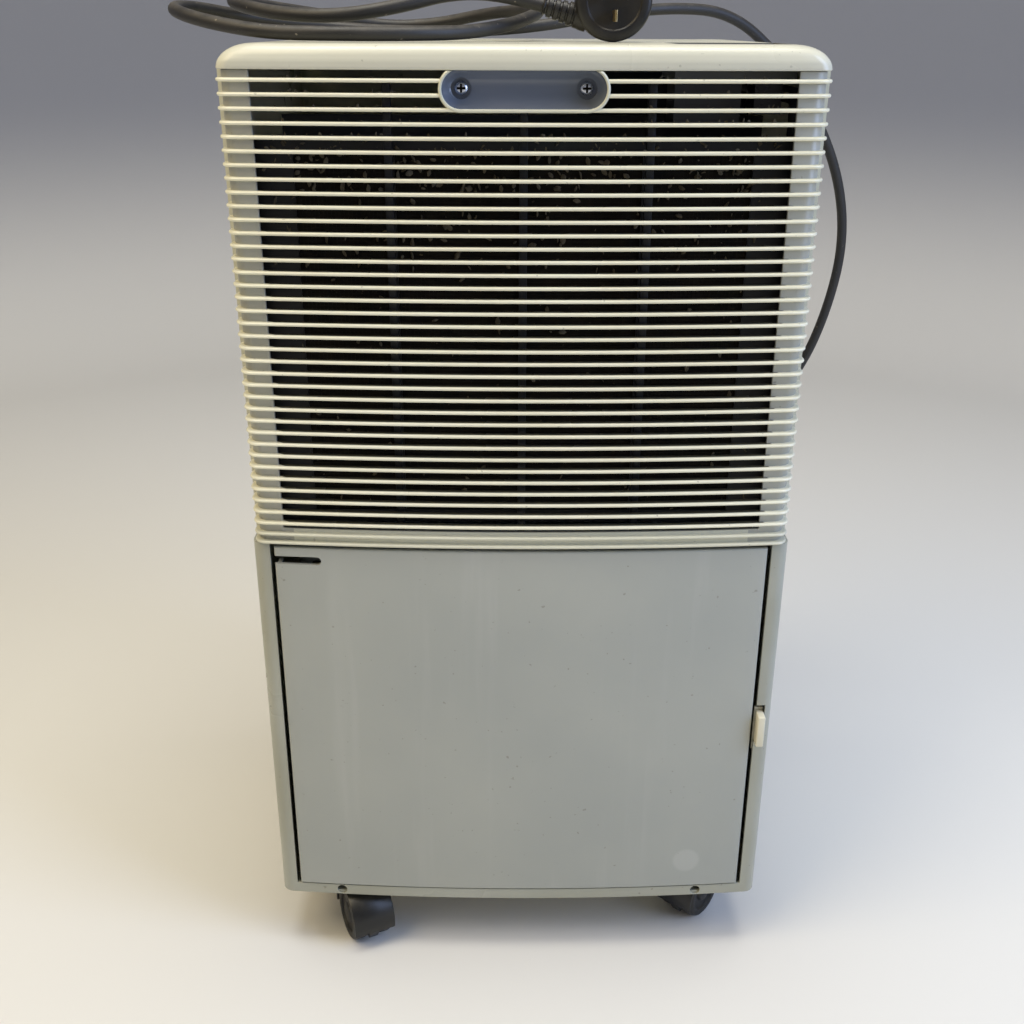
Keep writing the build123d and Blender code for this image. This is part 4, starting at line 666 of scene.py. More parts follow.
# %% Slats
SLAT_THICK, SLAT_DEPTH, SLAT_RETURN, SLAT_INSET, SLAT_COUNT = 2.15, 5.2, 12.0, 2.0, 36
TOP_SLAT_DROP, LAST_SLAT_RISE = 5.3, 14.3
PARTED_HALF, BELOW_HALF = 45.2, 37.0
INTAKE_HALF = SIDE - 21.0
grille_low, grille_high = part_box("front_grille")
first_slat = LID_UNDER - TOP_SLAT_DROP
last_slat = grille_low.z / MM + LAST_SLAT_RISE
slat_step = (first_slat - last_slat) / (SLAT_COUNT - 1)
slat_end = FRONT + BULGE + SLAT_RETURN


def add_shade_and_grime(material, shade_and_grime_hex, amount):
    """Darkens the bar behind its nose, where the attribute is 1: painted shade, with some grime."""
    tree = material.node_tree
    shader = tree.nodes["Principled BSDF"]
    before = shader.inputs["Base Color"].links[0].from_node
    reach = add(tree, "ShaderNodeAttribute", attribute_name="shade_and_grime")
    share = add(tree, "ShaderNodeMapRange", {"From Min": 0.02, "From Max": 0.22, "To Max": amount},
                {"Value": (reach, "Fac")}, interpolation_type="SMOOTHSTEP")
    tone = add(tree, "ShaderNodeMix", {7: linear(shade_and_grime_hex)}, {0: (share, "Result"), 6: (before, 2)},
               data_type="RGBA")
    tree.links.new(tone.outputs[2], shader.inputs["Base Color"])
    return material


# The bars take a lighter cream than the rest of the same moulding: painted light, for the light on their
# rounded noses.
slat_cream_lit = add_shade_and_grime(moulded("slats, cream ABS with painted light and shade", "#EAE8D2", "#E1DDC2", 0.26, blotch_mm=90,
                            grain_mm=1.6,
                            relief_mm=0.008, speck=0.35), "#353222", 0.93)


def slat(name, inset=SLAT_INSET, front=0.0, depth=SLAT_DEPTH, thick=SLAT_THICK, round_nose=1.1):
    """One bar about height 0, its nose rounded."""
    half = thick / 2
    section = [(depth, half), (round_nose, half)]
    section += [(round_nose * (1 - cos(radians(a))), half * sin(radians(a))) for a in (60, 30, 0, -30,
                                                                                       -60)]
    section += [(round_nose, -half), (depth, -half)]
    rows = []
    for reach, z in section:
        corner = CORNER - reach if reach < 7 else 1.0
        rows.append(at_height(front_line(inset + reach, front + reach, slat_end, corner), z))
    bar = loft(name, rows, slat_cream_lit, closed_section=True)
    # The attribute is 0 on the nose and rises to 1 behind it: painted shade, with some grime.
    shade_and_grime = bar.data.attributes.new("shade_and_grime", "FLOAT", "POINT")
    for point, store in zip(bar.data.vertices, shade_and_grime.data):
        x, y = abs(point.co.x) / MM, point.co.y / MM
        nose = FRONT + BULGE * (x / SIDE) ** 2 + round_nose
        store.value = min(1.0,
                          max(0.0, (y - nose - 0.2) / (depth - round_nose))) if x < INTAKE_HALF else 0.0
    return bar


def without_middle(piece, half):
    """Removes what lies within half of the middle, and closes the ends."""
    shape = bmesh.new()
    shape.from_mesh(piece.data)
    for side in (-1, 1):
        everything = shape.verts[:] + shape.edges[:] + shape.faces[:]
        bmesh.ops.bisect_plane(shape, geom=everything, plane_co=(side * half * MM, 0, 0),
                               plane_no=(1, 0, 0))
    inner = [f for f in shape.faces if abs(f.calc_center_median().x) < half * MM]
    bmesh.ops.delete(shape, geom=inner, context="FACES")
    open_edges = [e for e in shape.edges if len(e.link_faces) == 1]
    bmesh.ops.holes_fill(shape, edges=open_edges, sides=40)
    shape.to_mesh(piece.data)
    shape.free()
    smooth(piece)
    return piece


FREE_SLATS = SLAT_COUNT - 3
lower_slats = in_row(slat("slats"), FREE_SLATS, (0, 0, first_slat - 3 * slat_step), (0, 0, -slat_step),
                     slat_cream_lit)
parted_slats = in_row(without_middle(slat("slats_at_recess"), PARTED_HALF), 2, (0, 0, first_slat),
                      (0, 0, -slat_step),
                      slat_cream_lit)
third_slat = in_row(without_middle(slat("slat_below_recess"), BELOW_HALF), 1,
                    (0, 0, first_slat - 2 * slat_step),
                    (0, 0, 0), slat_cream_lit)
slats = joined("intake_slats", [lower_slats, parted_slats, third_slat])
install(slats, "root", "cream_abs", "front_grille")
print("slat pitch", round(slat_step, 3), "mm, first at", round(first_slat, 1), "last at",
      round(last_slat, 1))

# %% [markdown]
# Behind the bars two upright stiles and a bottom rail are one thin band that follows the plan. The
# band is lofted whole and the intake is cut out of it. The rail carries two lips that continue the
# rhythm of the slats. The stiles take a darker grey copy of the cream, which is painted shade, and the
# rail stays cream, so the low faces take a second finish. Three ribs stand behind the bars in a
# near-black finish that is painted shade, with some dust.

# %% Stiles, rail and ribs
STILE_SIDE, STILE_FRONT, WALL = 4.5, 3.0, 2.5
PARTING = FRONT + 28.0
ROOM_HALF, ROOM_DROP = 46.0, 14.0
LIP_DEPTH, LIP_RISE, LIP_STEP = 4.0, 7.0, 5.8
band_top, band_bottom = grille_high.z / MM, grille_low.z / MM


def band(name, side, front, bottom, top, finish, thick=WALL):
    """A wall that follows the front, from parting line to parting line."""
    back = PARTING - 0.3
    outer = front_line(side, front, back, CORNER)
    inner = front_line(side + thick, front + thick, back, CORNER - thick)
    rows = [at_height(outer, bottom), at_height(outer, top), at_height(inner, top),
            at_height(inner, bottom)]
    return loft(name, rows, finish, closed_section=True)


# The stiles' grey is painted shade: the same cream moulding, darkened where it lies in shade.
stile_painted_shade_grey = moulded("stiles, cream ABS in painted shade", "#B0B0A6", "#A5A497", 0.34, blotch_mm=60, grain_mm=1.6,
                     relief_mm=0.01,
                     dust=0.2, speck=0.4)
stiles = band("intake_stiles", STILE_SIDE, STILE_FRONT, band_bottom, band_top, stile_painted_shade_grey)
cut(stiles, box_shape("intake_cut", (-INTAKE_HALF, FRONT - 2, last_slat - slat_step / 2),
                      (INTAKE_HALF, PARTING - 2, band_top + 1)))
cut(stiles,
    box_shape("recess_room", (-ROOM_HALF, FRONT - 2, first_slat - ROOM_DROP),
              (ROOM_HALF, PARTING - 2, band_top + 1)))
softened(stiles, 0.35, 2)
stiles.data.materials.append(cream)
for face in stiles.data.polygons:
    if face.center.z < (last_slat - slat_step / 2) * MM:
        face.material_index = 1
lips = in_row(slat("rail_lips", depth=LIP_DEPTH), 2, (0, 0, band_bottom + LIP_RISE), (0, 0, -LIP_STEP),
              cream)
lips.data.materials.clear()
for finish in (stile_painted_shade_grey, cream):
    lips.data.materials.append(finish)
for face in lips.data.polygons:
    face.material_index = 1
rail = joined("intake_frame", [stiles, lips])
install(rail, "root", "cream_abs")

# Near black: on the ribs, which belong to the cream moulding, this is painted shade; on the filter frame
# it is the frame's own dark plastic.
rib_shade_and_filter_black = moulded("near-black filter plastic, painted shade on ribs", "#141415", "#1C1B1A", 0.5, blotch_mm=20, dust=0.2,
                    dust_hex="#6B6456")
RIB_PLACES, RIB_WIDTH, RIB_DEPTH, RIB_SETBACK = (-75, 0, 70), 4.5, 5.8, 8.2
RIB_DROP, MIDDLE_RIB_DROP = 1.2, 16.4
rib_parts = []
for x in RIB_PLACES:
    top = first_slat - (RIB_DROP if x else MIDDLE_RIB_DROP)
    rib = box_shape("rib", (x - RIB_WIDTH / 2, FRONT + RIB_SETBACK, band_bottom + 1),
                    (x + RIB_WIDTH / 2, FRONT + RIB_SETBACK + RIB_DEPTH, top))
    rib.data.materials.append(rib_shade_and_filter_black)
    rib_parts.append(softened(rib, 0.4, 2))
ribs = joined("intake_ribs", rib_parts)
install(ribs, "root", "cream_abs")

# %% [markdown]
# The oval recess is a smooth trough in the cream moulding, with a cream rim; its inside is painted a
# cooler, glossier grey, which is painted shade and painted reflection. Two counterbores in its floor
# hold the screws that keep the grille on. The trough is lofted from stadium outlines whose height
# shrinks along a quarter ellipse, because a turned cut would leave straight walls. Its top is cut off
# level under the lid.

# %% Oval recess
SCOOP_WIDTH, SCOOP_HEIGHT, SCOOP_DROP, SCOOP_DEPTH, SCOOP_RIM = 92.6, 24.0, 9.5, 13.0, 1.9
SCREW_X, CUP_RADIUS, CUP_DEPTH = 34.3, 5.6, 2.0
TROUGH_START, TROUGH_CLOSING = 2.0, 0.86
scoop_z = LID_UNDER - SCOOP_DROP


def stadium_row(inset, y, steps=20):
    """A stadium outline in the front's plane, shrunk by the inset."""
    radius = max(SCOOP_HEIGHT / 2 - inset, 0.05)
    straight = SCOOP_WIDTH / 2 - SCOOP_HEIGHT / 2
    right = [(straight + radius * cos(t), y, scoop_z + radius * sin(t))
             for t in [radians(-90 + 180 * i / steps) for i in range(steps + 1)]]
    left = [(-straight + radius * cos(t), y, scoop_z + radius * sin(t))
            for t in [radians(90 + 180 * i / steps) for i in range(steps + 1)]]
    return right + left


# The inside's cool grey is painted shade and painted reflection on the cream moulding.
recess_painted_shade_grey = moulded("recess, cream ABS in painted shade and reflection", "#777D88", "#6C7480", 0.16, blotch_mm=50, grain_mm=3.0,
                     relief_mm=0.004, specular=0.6)
wall_back = FRONT + SCOOP_DEPTH + 4
rows = [stadium_row(0.0, wall_back), stadium_row(0.0, FRONT + 1.0), stadium_row(0.3, FRONT + 0.35),
        stadium_row(0.9, FRONT), stadium_row(1.5, FRONT + 0.1), stadium_row(SCOOP_RIM, FRONT + 0.9)]
inner_radius = SCOOP_HEIGHT / 2 - SCOOP_RIM
for i in range(1, 13):
    turn = radians(90 * i / 12)
    inset = SCOOP_RIM + inner_radius * (1 - cos(turn)) * TROUGH_CLOSING
    rows.append(stadium_row(inset, FRONT + TROUGH_START + (SCOOP_DEPTH - TROUGH_START) * sin(turn)))
scoop = loft("oval_recess", rows, cream, closed_rows=True)
scoop.data.materials.append(recess_painted_shade_grey)
for face in scoop.data.polygons:
    middle = face.center / MM
    across = max(abs(middle.x) - (SCOOP_WIDTH - SCOOP_HEIGHT) / 2, 0)
    if sqrt(across ** 2 + (middle.z - scoop_z) ** 2) < inner_radius + 0.05 and middle.y < wall_back - 1:
        face.material_index = 1
for side in (-1, 1):
    seat = SCOOP_DEPTH + CUP_DEPTH
    cup = lathe("cup", scaled([(0, 0), (CUP_RADIUS, 0), (CUP_RADIUS, seat), (0, seat)]),
                (side * SCREW_X * MM, FRONT * MM, scoop_z * MM), (0, 1, 0), recess_painted_shade_grey, 40)
    cut(scoop, cup)
cut(scoop, box_shape("under_lid", (-60, FRONT - 5, band_top), (60, PARTING, LID_TOP + 5)))
install(scoop, "root", "cream_abs")

# %% [markdown]
# Both pairs of screws are cross-head pan screws: zinc-plated in the recess, blackened and sunk deep in
# the lower bar. A screw is a turned head with a cross cut into it, and the row tree sets two of them
# side by side. The dark inside a plated screw's cross is painted shade: the blackened steel finish is
# set on the faces inside it.

# %% Screws
RECESS_HEAD, BAR_HEAD, HEAD_HEIGHT = 3.8, 3.2, 2.6
CROSS_HALF, CROSS_REACH, CROSS_SLACK, CROSS_SUNK = 0.62, 2.5, 0.02, 0.15


def metal(name, light, dark, roughness, spot_mm=2.0, relief_mm=0.01):
    """Bare or plated metal: full reflection, with a tone that varies as the plating does."""
    material, tree, shader, place = new_material(name)
    shader.inputs["Metallic"].default_value = 1.0
    spots = add(tree, "ShaderNodeTexNoise", {"Scale": 1 / (spot_mm * MM), "Detail": 4.0},
                {"Vector": (place, "Object")})
    tone = add(tree, "ShaderNodeMix", {6: linear(light), 7: linear(dark)}, {0: (spots, "Fac")},
               data_type="RGBA")
    tree.links.new(tone.outputs[2], shader.inputs["Base Color"])
    dull = add(tree, "ShaderNodeMapRange", {"To Min": roughness - 0.08, "To Max": roughness + 0.12},
               {"Value": (spots, "Fac")})
    tree.links.new(dull.outputs["Result"], shader.inputs["Roughness"])
    bump = add(tree, "ShaderNodeBump", {"Distance": relief_mm * MM}, {"Height": (spots, "Fac")})
    tree.links.new(bump.outputs["Normal"], shader.inputs["Normal"])
    return material


def cross_screw(name, head_radius, head_height, finish):
    """A pan head about the origin that faces -Y, with a cross recess."""
    crown = [(0, -head_height), (head_radius * 0.45, -head_height),
             (head_radius * 0.75, -head_height * 0.88),
             (head_radius * 0.94, -head_height * 0.6), (head_radius, -head_height * 0.2),
             (head_radius, 0),
             (1.6, 0), (1.6, 7), (0, 8)]
    screw = lathe(name, scaled(crown), (0, 0, 0), (0, 1, 0), finish, 32)
    for turn in (0, 90):
        wide, thin, deep = head_radius * 0.62, CROSS_HALF, head_height * 0.85
        arm = box_shape("arm", (-wide, -head_height - 1, -thin), (wide, -head_height + deep, thin))
        arm.data.transform(Matrix.Rotation(radians(turn), 4, "Y"))
        cut(screw, arm)
    return screw


zinc = metal("zinc-plated steel", "#F0F3F8", "#C6CCD6", 0.22)
blackened_steel_and_cross_shade = metal("blackened steel, painted shade in crosses", "#2F2C25", "#1A1814", 0.5)
seat_y = FRONT + SCOOP_DEPTH + CUP_DEPTH
screws = in_row(cross_screw("recess_screws", RECESS_HEAD, HEAD_HEIGHT, zinc), 2,
                (-SCREW_X, seat_y, scoop_z),
                (2 * SCREW_X, 0, 0), zinc)
# Faces inside the crosses of the zinc screws take the blackened finish as painted shade.
screws.data.materials.append(blackened_steel_and_cross_shade)
for face in screws.data.polygons:
    across = abs(abs(face.center.x / MM) - SCREW_X)
    upward = abs(face.center.z / MM - scoop_z)
    sunk = face.center.y / MM - (seat_y - HEAD_HEIGHT)
    in_arm = max(across, upward) < CROSS_REACH and min(across, upward) < CROSS_HALF + CROSS_SLACK
    if in_arm and sunk > CROSS_SUNK:
        face.material_index = 1
install(screws, "root", "zinc_screw", "grille_screws")
low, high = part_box("frame_screws")
screw_x = (high.x - low.x) / 2 / MM - BAR_HEAD
bar_screws = in_row(cross_screw("bar_screws", BAR_HEAD, HEAD_HEIGHT, blackened_steel_and_cross_shade), 2,
                    (-screw_x, low.y / MM + HEAD_HEIGHT, (low.z + high.z) / 2 / MM), (2 * screw_x, 0, 0),
                    blackened_steel_and_cross_shade)
install(bar_screws, "root", "dark_screw", "frame_screws")

# %% [markdown]
# The tank's opening has a surround of greyed ABS: two stiles, a low bar with sunk screw holes, and a
# thin shelf that closes it from below. The tank's own front is a separate satin panel, and the narrow
# dark line round it is a real gap.

# %% Surround of the tank
frame_low, frame_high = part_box("front_frame")
OPENING_HALF, BAR_HEIGHT, HOLE_RADIUS, HOLE_RISE = 158.8, 8.0, 3.5, 4.0
TAB_LOW, TAB_HIGH = 174.5, 197.5
bar_top = frame_low.z / MM + BAR_HEIGHT
surround_grey = moulded("surround, greyed ABS", "#A6A79A", "#9C9C8C", 0.30, blotch_mm=80, grain_mm=1.6,
                        relief_mm=0.008, speck=0.4)
surround = band("tank_surround", 0.0, 3.0, frame_low.z / MM, frame_high.z / MM, surround_grey)
cut(surround, box_shape("opening", (-OPENING_HALF, FRONT - 2, bar_top),
                        (OPENING_HALF, PARTING - 1, frame_high.z / MM + 5)))
latch_low, latch_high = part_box("tank_latch")
cut(surround, box_shape("latch_slot", (OPENING_HALF - 2, FRONT - 2, TAB_LOW - 0.4),
                        (OPENING_HALF + 5.8, PARTING - 6, TAB_HIGH + 5.4)))
for side in (-1, 1):
    hole = lathe("hole", scaled([(0, -5), (HOLE_RADIUS, -5), (HOLE_RADIUS, 60), (0, 60)]),
                 (side * screw_x * MM, FRONT * MM, (frame_low.z / MM + HOLE_RISE) * MM), (0, 1, 0),
                 surround_grey, 32)
    cut(surround, hole)
softened(surround, 0.6, 3)
shelf_line = front_line(1.25, 4.25, PARTING - 0.3, 6.75)
shelf = loft("shelf", [at_height(shelf_line, frame_low.z / MM + rise) for rise in (0.1, 2.5)],
             surround_grey,
             closed_rows=True)
surround = joined("tank_surround", [surround, shelf])
install(surround, "root", "cream_abs", "front_frame")

# %% [markdown]
# The panel is moulded in satin grey ABS. Years of wiping have left faint streaks, a few specks and one
# pale round mark low on the right. It is a bowed tray: rectangular rings with a rounded front edge,
# then a return flange, so that it looks right when the tank slides out.

# %% Tank panel
panel_low, panel_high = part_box("tank_front")
panel_half = panel_high.x / MM
p0, p1 = panel_low.z / MM, panel_high.z / MM
MARK_PLACE = (118 * MM, -140 * MM, 78 * MM)
PANEL_INSET, PANEL_THICK, EDGE_ROUND, FLANGE = 2.0, 3.0, 1.3, 6.0
NOTCH_LENGTH, NOTCH_HEIGHT, NOTCH_DROP = 29.8, 5.6, 8.7
bow_radius = (SIDE * SIDE + BULGE * BULGE) / (2 * BULGE)


def bow_depth(x):
    """How far behind the foremost line the bowed front lies at x."""
    return bow_radius - sqrt(bow_radius ** 2 - x * x)


def panel_ring(inset, depth, steps=36):
    """A rectangle round the panel's edge, bowed like the front."""
    half = panel_half - inset
    xs = [-half + 2 * half * i / steps for i in range(steps + 1)]
    y = FRONT + PANEL_INSET + depth
    low = [(x, y + bow_depth(x), p0 + inset) for x in xs]
    high = [(x, y + bow_depth(x), p1 - inset) for x in reversed(xs)]
    return low + high


def ladder(row_start, steps=36):
    """Quads that close a ring made by panel_ring."""
    last = 2 * steps + 1
    return [(row_start + i, row_start + i + 1, row_start + last - i - 1, row_start + last - i)
            for i in range(steps)]


rings = [panel_ring(EDGE_ROUND * (1 - sin(radians(a))), EDGE_ROUND * (1 - cos(radians(a))))
         for a in (0, 22, 45, 68, 90)]
FLANGE_OUT, FLANGE_IN = 1.5, 4.0
flange_back = PANEL_THICK + FLANGE
rings += [panel_ring(0.0, PANEL_THICK), panel_ring(FLANGE_OUT, PANEL_THICK),
          panel_ring(FLANGE_OUT, flange_back), panel_ring(FLANGE_IN, flange_back),
          panel_ring(FLANGE_IN, PANEL_THICK)]
count = len(rings[0])
points = [Vector(p) * MM for ring in rings for p in ring]
faces = [(a * count + i, a * count + (i + 1) % count,
          (a + 1) * count + (i + 1) % count, (a + 1) * count + i)
         for a in range(len(rings) - 1) for i in range(count)]
faces += ladder(0) + ladder((len(rings) - 1) * count)


def panel_finish():
    """Satin grey ABS with wiping streaks, specks and one pale round mark."""
    material = moulded("satin grey ABS", "#A8AAA1", "#A0A39C", 0.34, blotch_mm=120, grain_mm=1.4,
                       relief_mm=0.008, speck=0.45, speck_hex="#6E6A5C")
    tree = material.node_tree
    shader = tree.nodes["Principled BSDF"]
    before = shader.inputs["Base Color"].links[0].from_node
    place = add(tree, "ShaderNodeTexCoord")
    drawn = add(tree, "ShaderNodeMapping", {"Scale": (60, 60, 4)}, {"Vector": (place, "Object")})
    streaks = add(tree, "ShaderNodeTexNoise", {"Scale": 1.0, "Detail": 4.0},
                  {"Vector": (drawn, "Vector")})
    thin = add(tree, "ShaderNodeMapRange", {"From Min": 0.55, "From Max": 0.8, "To Max": 0.28},
               {"Value": (streaks, "Fac")}, interpolation_type="SMOOTHSTEP")
    wiped = add(tree, "ShaderNodeMix", {7: linear("#B9BAB4")}, {0: (thin, "Result"), 6: (before, 2)},
                data_type="RGBA")
    mark = add(tree, "ShaderNodeVectorMath", {1: MARK_PLACE}, {0: (place, "Object")},
               operation="DISTANCE")
    near = add(tree, "ShaderNodeMapRange", {"From Min": 11 * MM, "From Max": 8 * MM, "To Max": 0.35},
               {"Value": (mark, "Value")}, interpolation_type="SMOOTHSTEP")
    marked = add(tree, "ShaderNodeMix", {7: linear("#BDBFB8")}, {0: (near, "Result"), 6: (wiped, 2)},
                 data_type="RGBA")
    tree.links.new(marked.outputs[2], shader.inputs["Base Color"])
    return material


satin_grey = panel_finish()
panel = piece_from("tank_panel", points, faces, satin_grey)
notch_z = p1 - NOTCH_DROP
notch_end = -panel_half + NOTCH_LENGTH - NOTCH_HEIGHT / 2
notch_half = NOTCH_HEIGHT / 2
cut(panel, box_shape("notch", (-panel_half - 3, FRONT - 3, notch_z - notch_half),
                     (notch_end, FRONT + 40, notch_z + notch_half)))
cut(panel, lathe("notch_round", scaled([(0, -3), (notch_half, -3), (notch_half, 40), (0, 40)]),
                 (notch_end * MM, FRONT * MM, notch_z * MM), (0, 1, 0), None, 32))
install(panel, "tank", "grey_panel", "tank_front")

# %% [markdown]
# A finger lifts the small tab beside the panel to free the tank. It is a block on a plate that lies
# behind the surround. Moulded edges are never sharp, so a bevel rounds both.

# %% Latch
tab_cream = moulded("tab, cream ABS", "#DDD8C2", "#D2CBB0", 0.3, blotch_mm=20)
TAB_WIDTH, PLATE_WIDTH, PLATE_THICK = 5.0, 5.6, 2.0
ly0, lz0 = latch_low.y / MM, latch_low.z / MM
lx1, ly1, lz1 = (v / MM for v in latch_high)
tab = box_shape("tab", (lx1 - TAB_WIDTH, ly0, TAB_LOW), (lx1, ly1 - 1.2, TAB_HIGH))
plate = box_shape("plate", (lx1 - PLATE_WIDTH, ly1 - PLATE_THICK, lz0), (lx1, ly1, lz1))
for part in (tab, plate):
    part.data.materials.append(tab_cream)
    softened(part, 0.8 if part is tab else 0.4, 3)
latch = joined("latch_tab", [tab, plate])
install(latch, "latch", "tab_abs", "tank_latch")

# %% [markdown]
# The cabinet is one cream moulding round both sides and the rear. Its wall is a thin section swept round
# the plan, and the outlet and the lead's hole are cut through the rear.

# %% Cabinet
cab_low, cab_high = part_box("cabinet")
CAB_STEPS = 8


def rear_line(inset, corner):
    """From the right parting line round the rear to the left one."""
    half, back, corner = SIDE - inset, REAR - inset, max(corner, 0.5)
    return [(half, PARTING), *arc(half - corner, back - corner, corner, 0, 90, CAB_STEPS),
            *arc(-half + corner, back - corner, corner, 90, 180, CAB_STEPS), (-half, PARTING)]


z0, z1 = cab_low.z / MM, cab_high.z / MM
section = [(0.0, z0 + 0.5), (0.0, z1 - 0.4), (0.4, z1), (WALL, z1), (WALL, z0), (0.5, z0)]
cabinet = loft("cabinet_shell", [at_height(rear_line(inset, CORNER - inset), z) for inset, z in section],
               cream,
               closed_section=True)
out_low, out_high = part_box("outlet_grille")
cut(cabinet, box_shape("outlet_cut", (out_low.x / MM - 0.3, REAR - 20, out_low.z / MM - 0.3),
                       (out_high.x / MM + 0.3, REAR + 5, out_high.z / MM + 0.3)))
GLAND_HOLE = 8.5
cut(cabinet, lathe("gland_cut", scaled([(0, -20), (GLAND_HOLE, -20), (GLAND_HOLE, 10), (0, 10)]),
                   (gland_x, REAR * MM, gland_z), (0, 1, 0), cream, 40))
install(cabinet, "root", "cream_abs", "cabinet")

# %% [markdown]
# The air goes out at the rear between sloping louvres. One blade with rounded edges is repeated up a
# moulded frame by the same row tree as the slats.

# %% Rear louvres
outlet_cream = moulded("outlet, cream ABS", "#CBC8B3", "#C0BCA6", 0.38, blotch_mm=80, dust=0.35)
ox0, oy0, oz0 = (v / MM for v in out_low)
ox1, oy1, oz1 = (v / MM for v in out_high)
outlet_frame = box_shape("outlet_louvres", (ox0, oy0, oz0), (ox1, oy1, oz1))
outlet_frame.data.materials.append(outlet_cream)
cut(outlet_frame, box_shape("inside", (ox0 + 4, oy0 - 2, oz0 + 4), (ox1 - 4, oy1 + 2, oz1 - 4)))
softened(outlet_frame, 0.5, 2)
LOUVRES, BLADE_HALF, BLADE_RADIUS, BLADE_TILT = 14, 3.6, 0.95, -20
clear = oz1 - oz0 - 8
blade_section = []
for i in range(12):
    turn = 2 * pi * i / 12
    y, z = BLADE_HALF * cos(turn), BLADE_RADIUS * sin(turn)
    tilt = radians(BLADE_TILT)
    blade_section.append((y * cos(tilt) - z * sin(tilt), y * sin(tilt) + z * cos(tilt)))
blade = loft("blade", [[(ox0 + 3.5, y, z), (ox1 - 3.5, y, z)] for y, z in blade_section], outlet_cream,
             closed_section=True)
pitch = clear / (LOUVRES + 1)
in_row(blade, LOUVRES, (0, REAR - 4, oz0 + 4 + pitch), (0, 0, pitch), outlet_cream)
posts = in_row(softened(box_shape("posts", (-1.2, oy0 + 1, oz0 + 3), (1.2, oy1 - 1.2, oz1 - 3)), 0.4, 2),
               2,
               (ox0 / 3, 0, 0), ((ox1 - ox0) / 3, 0, 0), outlet_cream)
outlet = joined("rear_louvres", [outlet_frame, blade, posts])
install(outlet, "root", "outlet_plastic", "outlet_grille")

# %% [markdown]
# The humidistat's knob sits in a pocket in the lid. It is turned, its skirt has finger ribs, and a white
# line on top shows where it points. Thirty small ribs are one block turned round the axis by a second
# Geometry Nodes tree.

# %% Control knob
def ring_tree():
    """Copies the given mesh round the upright axis of its own place."""
    tree, given = open_tree("Ring of copies", ("Count", "Int"), ("Radius", "Float"),
                            ("Centre", "Vector"))
    ring = add(tree, "GeometryNodeMeshCircle",
               links={"Vertices": (given, "Count"), "Radius": (given, "Radius")})
    index = add(tree, "GeometryNodeInputIndex")
    share = add(tree, "ShaderNodeMath", links={0: (index, "Index"), 1: (given, "Count")},
                operation="DIVIDE")
    turn = add(tree, "ShaderNodeMath", {1: 2 * pi}, {0: (share, "Value")}, operation="MULTIPLY")
    euler = add(tree, "ShaderNodeCombineXYZ", links={"Z": (turn, "Value")})
    copies = add(tree, "GeometryNodeInstanceOnPoints",
                 links={"Points": (ring, "Mesh"), "Instance": (given, "Geometry"),
                                                              "Rotation": (euler, "Vector")})
    real = add(tree, "GeometryNodeRealizeInstances", links={"Geometry": (copies, "Instances")})
    moved = add(tree, "GeometryNodeTransform",
                links={"Geometry": (real, "Geometry"), "Translation": (given, "Centre")})
    return close_tree(tree, given, (moved, "Geometry"))


RING = ring_tree()
knob_black = moulded("knob, dark grey ABS", "#2B2C2E", "#343434", 0.38, blotch_mm=12, dust=0.35)
white_print = moulded("white line", "#E4E2DA", "#DAD8CE", 0.5, blotch_mm=10)
knob_pos = Vector(joints["humidistat_turn"]["pos_m"])
knob_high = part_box("humidistat_knob")[1]
kx, ky = knob_pos.x, knob_pos.y
skirt = (knob_high.x - kx) / MM
KNOB_HEIGHT = 13.6
knob_foot = knob_high.z - KNOB_HEIGHT * MM
knob_disc = lathe("knob_disc",
                  scaled([(0, 0), (skirt - 0.5, 0), (skirt - 0.1, 0.5), (skirt - 0.6, 4.4),
                          (skirt - 1.8, 5.0),
                                       (12.6, 5.2), (12.2, 6.0), (11.8, 12.2), (11.0, 13.3),
                          (9.5, KNOB_HEIGHT), (0, KNOB_HEIGHT)]),
                  (kx, ky, knob_foot), (0, 0, 1), knob_black, 60)
rib = softened(box_shape("rib", (-0.6, -0.55, 0), (0.5, 0.55, 6.0)), 0.25, 2)
ribs_round = grow(rib, RING, Count=30, Radius=12.0 * MM, Centre=(kx, ky, knob_foot + 5.6 * MM),
                  Material=knob_black)
pointer = box_shape("pointer", (-0.7, 3.0, 13.3), (0.7, 10.5, 13.75))
pointer.data.transform(Matrix.Translation((kx, ky, knob_foot)))
knob = joined("knob", [knob_disc, ribs_round])
install(knob, "knob", "knob_plastic", "humidistat_knob")
pointer.data.materials.append(white_print)
smooth(pointer)
pointer.name = "knob_line"
install(pointer, "knob", "knob_plastic")

# %% [markdown]
# Behind the slats hangs the dust filter: a coarse woven net in a dark frame, clogged with lint. The net
# is two rows of strands. The lint is a scatter of small crumpled lumps on the net and on the backs of
# the upper slats, thickest near the top. A flat dark sheet would show none of that depth.

# %% Filter net
mesh_low, mesh_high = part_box("filter_mesh")
mx0, my0, mz0 = (v / MM for v in mesh_low)
mx1, mz1 = mesh_high.x / MM, mesh_high.z / MM
net_dark = moulded("clogged filter net", "#1D1A16", "#2C271F", 0.85, blotch_mm=14, grain_mm=0.8,
                   relief_mm=0.2,
                   specular=0.2, speck=0.7, speck_hex="#5A5142")
NET_PITCH = 2.4
upright = box_shape("net_upright", (-0.3, my0 - 0.55, mz0), (0.3, my0 - 0.05, mz1))
across = box_shape("net_across", (mx0, my0 - 0.75, -0.3), (mx1, my0 - 0.3, 0.3))
uprights = in_row(upright, int((mx1 - mx0) / NET_PITCH), (mx0 + 1, 0, 0), (NET_PITCH, 0, 0), net_dark)
crossing = in_row(across, int((mz1 - mz0) / NET_PITCH), (0, 0, mz0 + 1), (0, 0, NET_PITCH), net_dark)
net = joined("filter_net", [uprights, crossing])
install(net, "root", "filter_cloth")


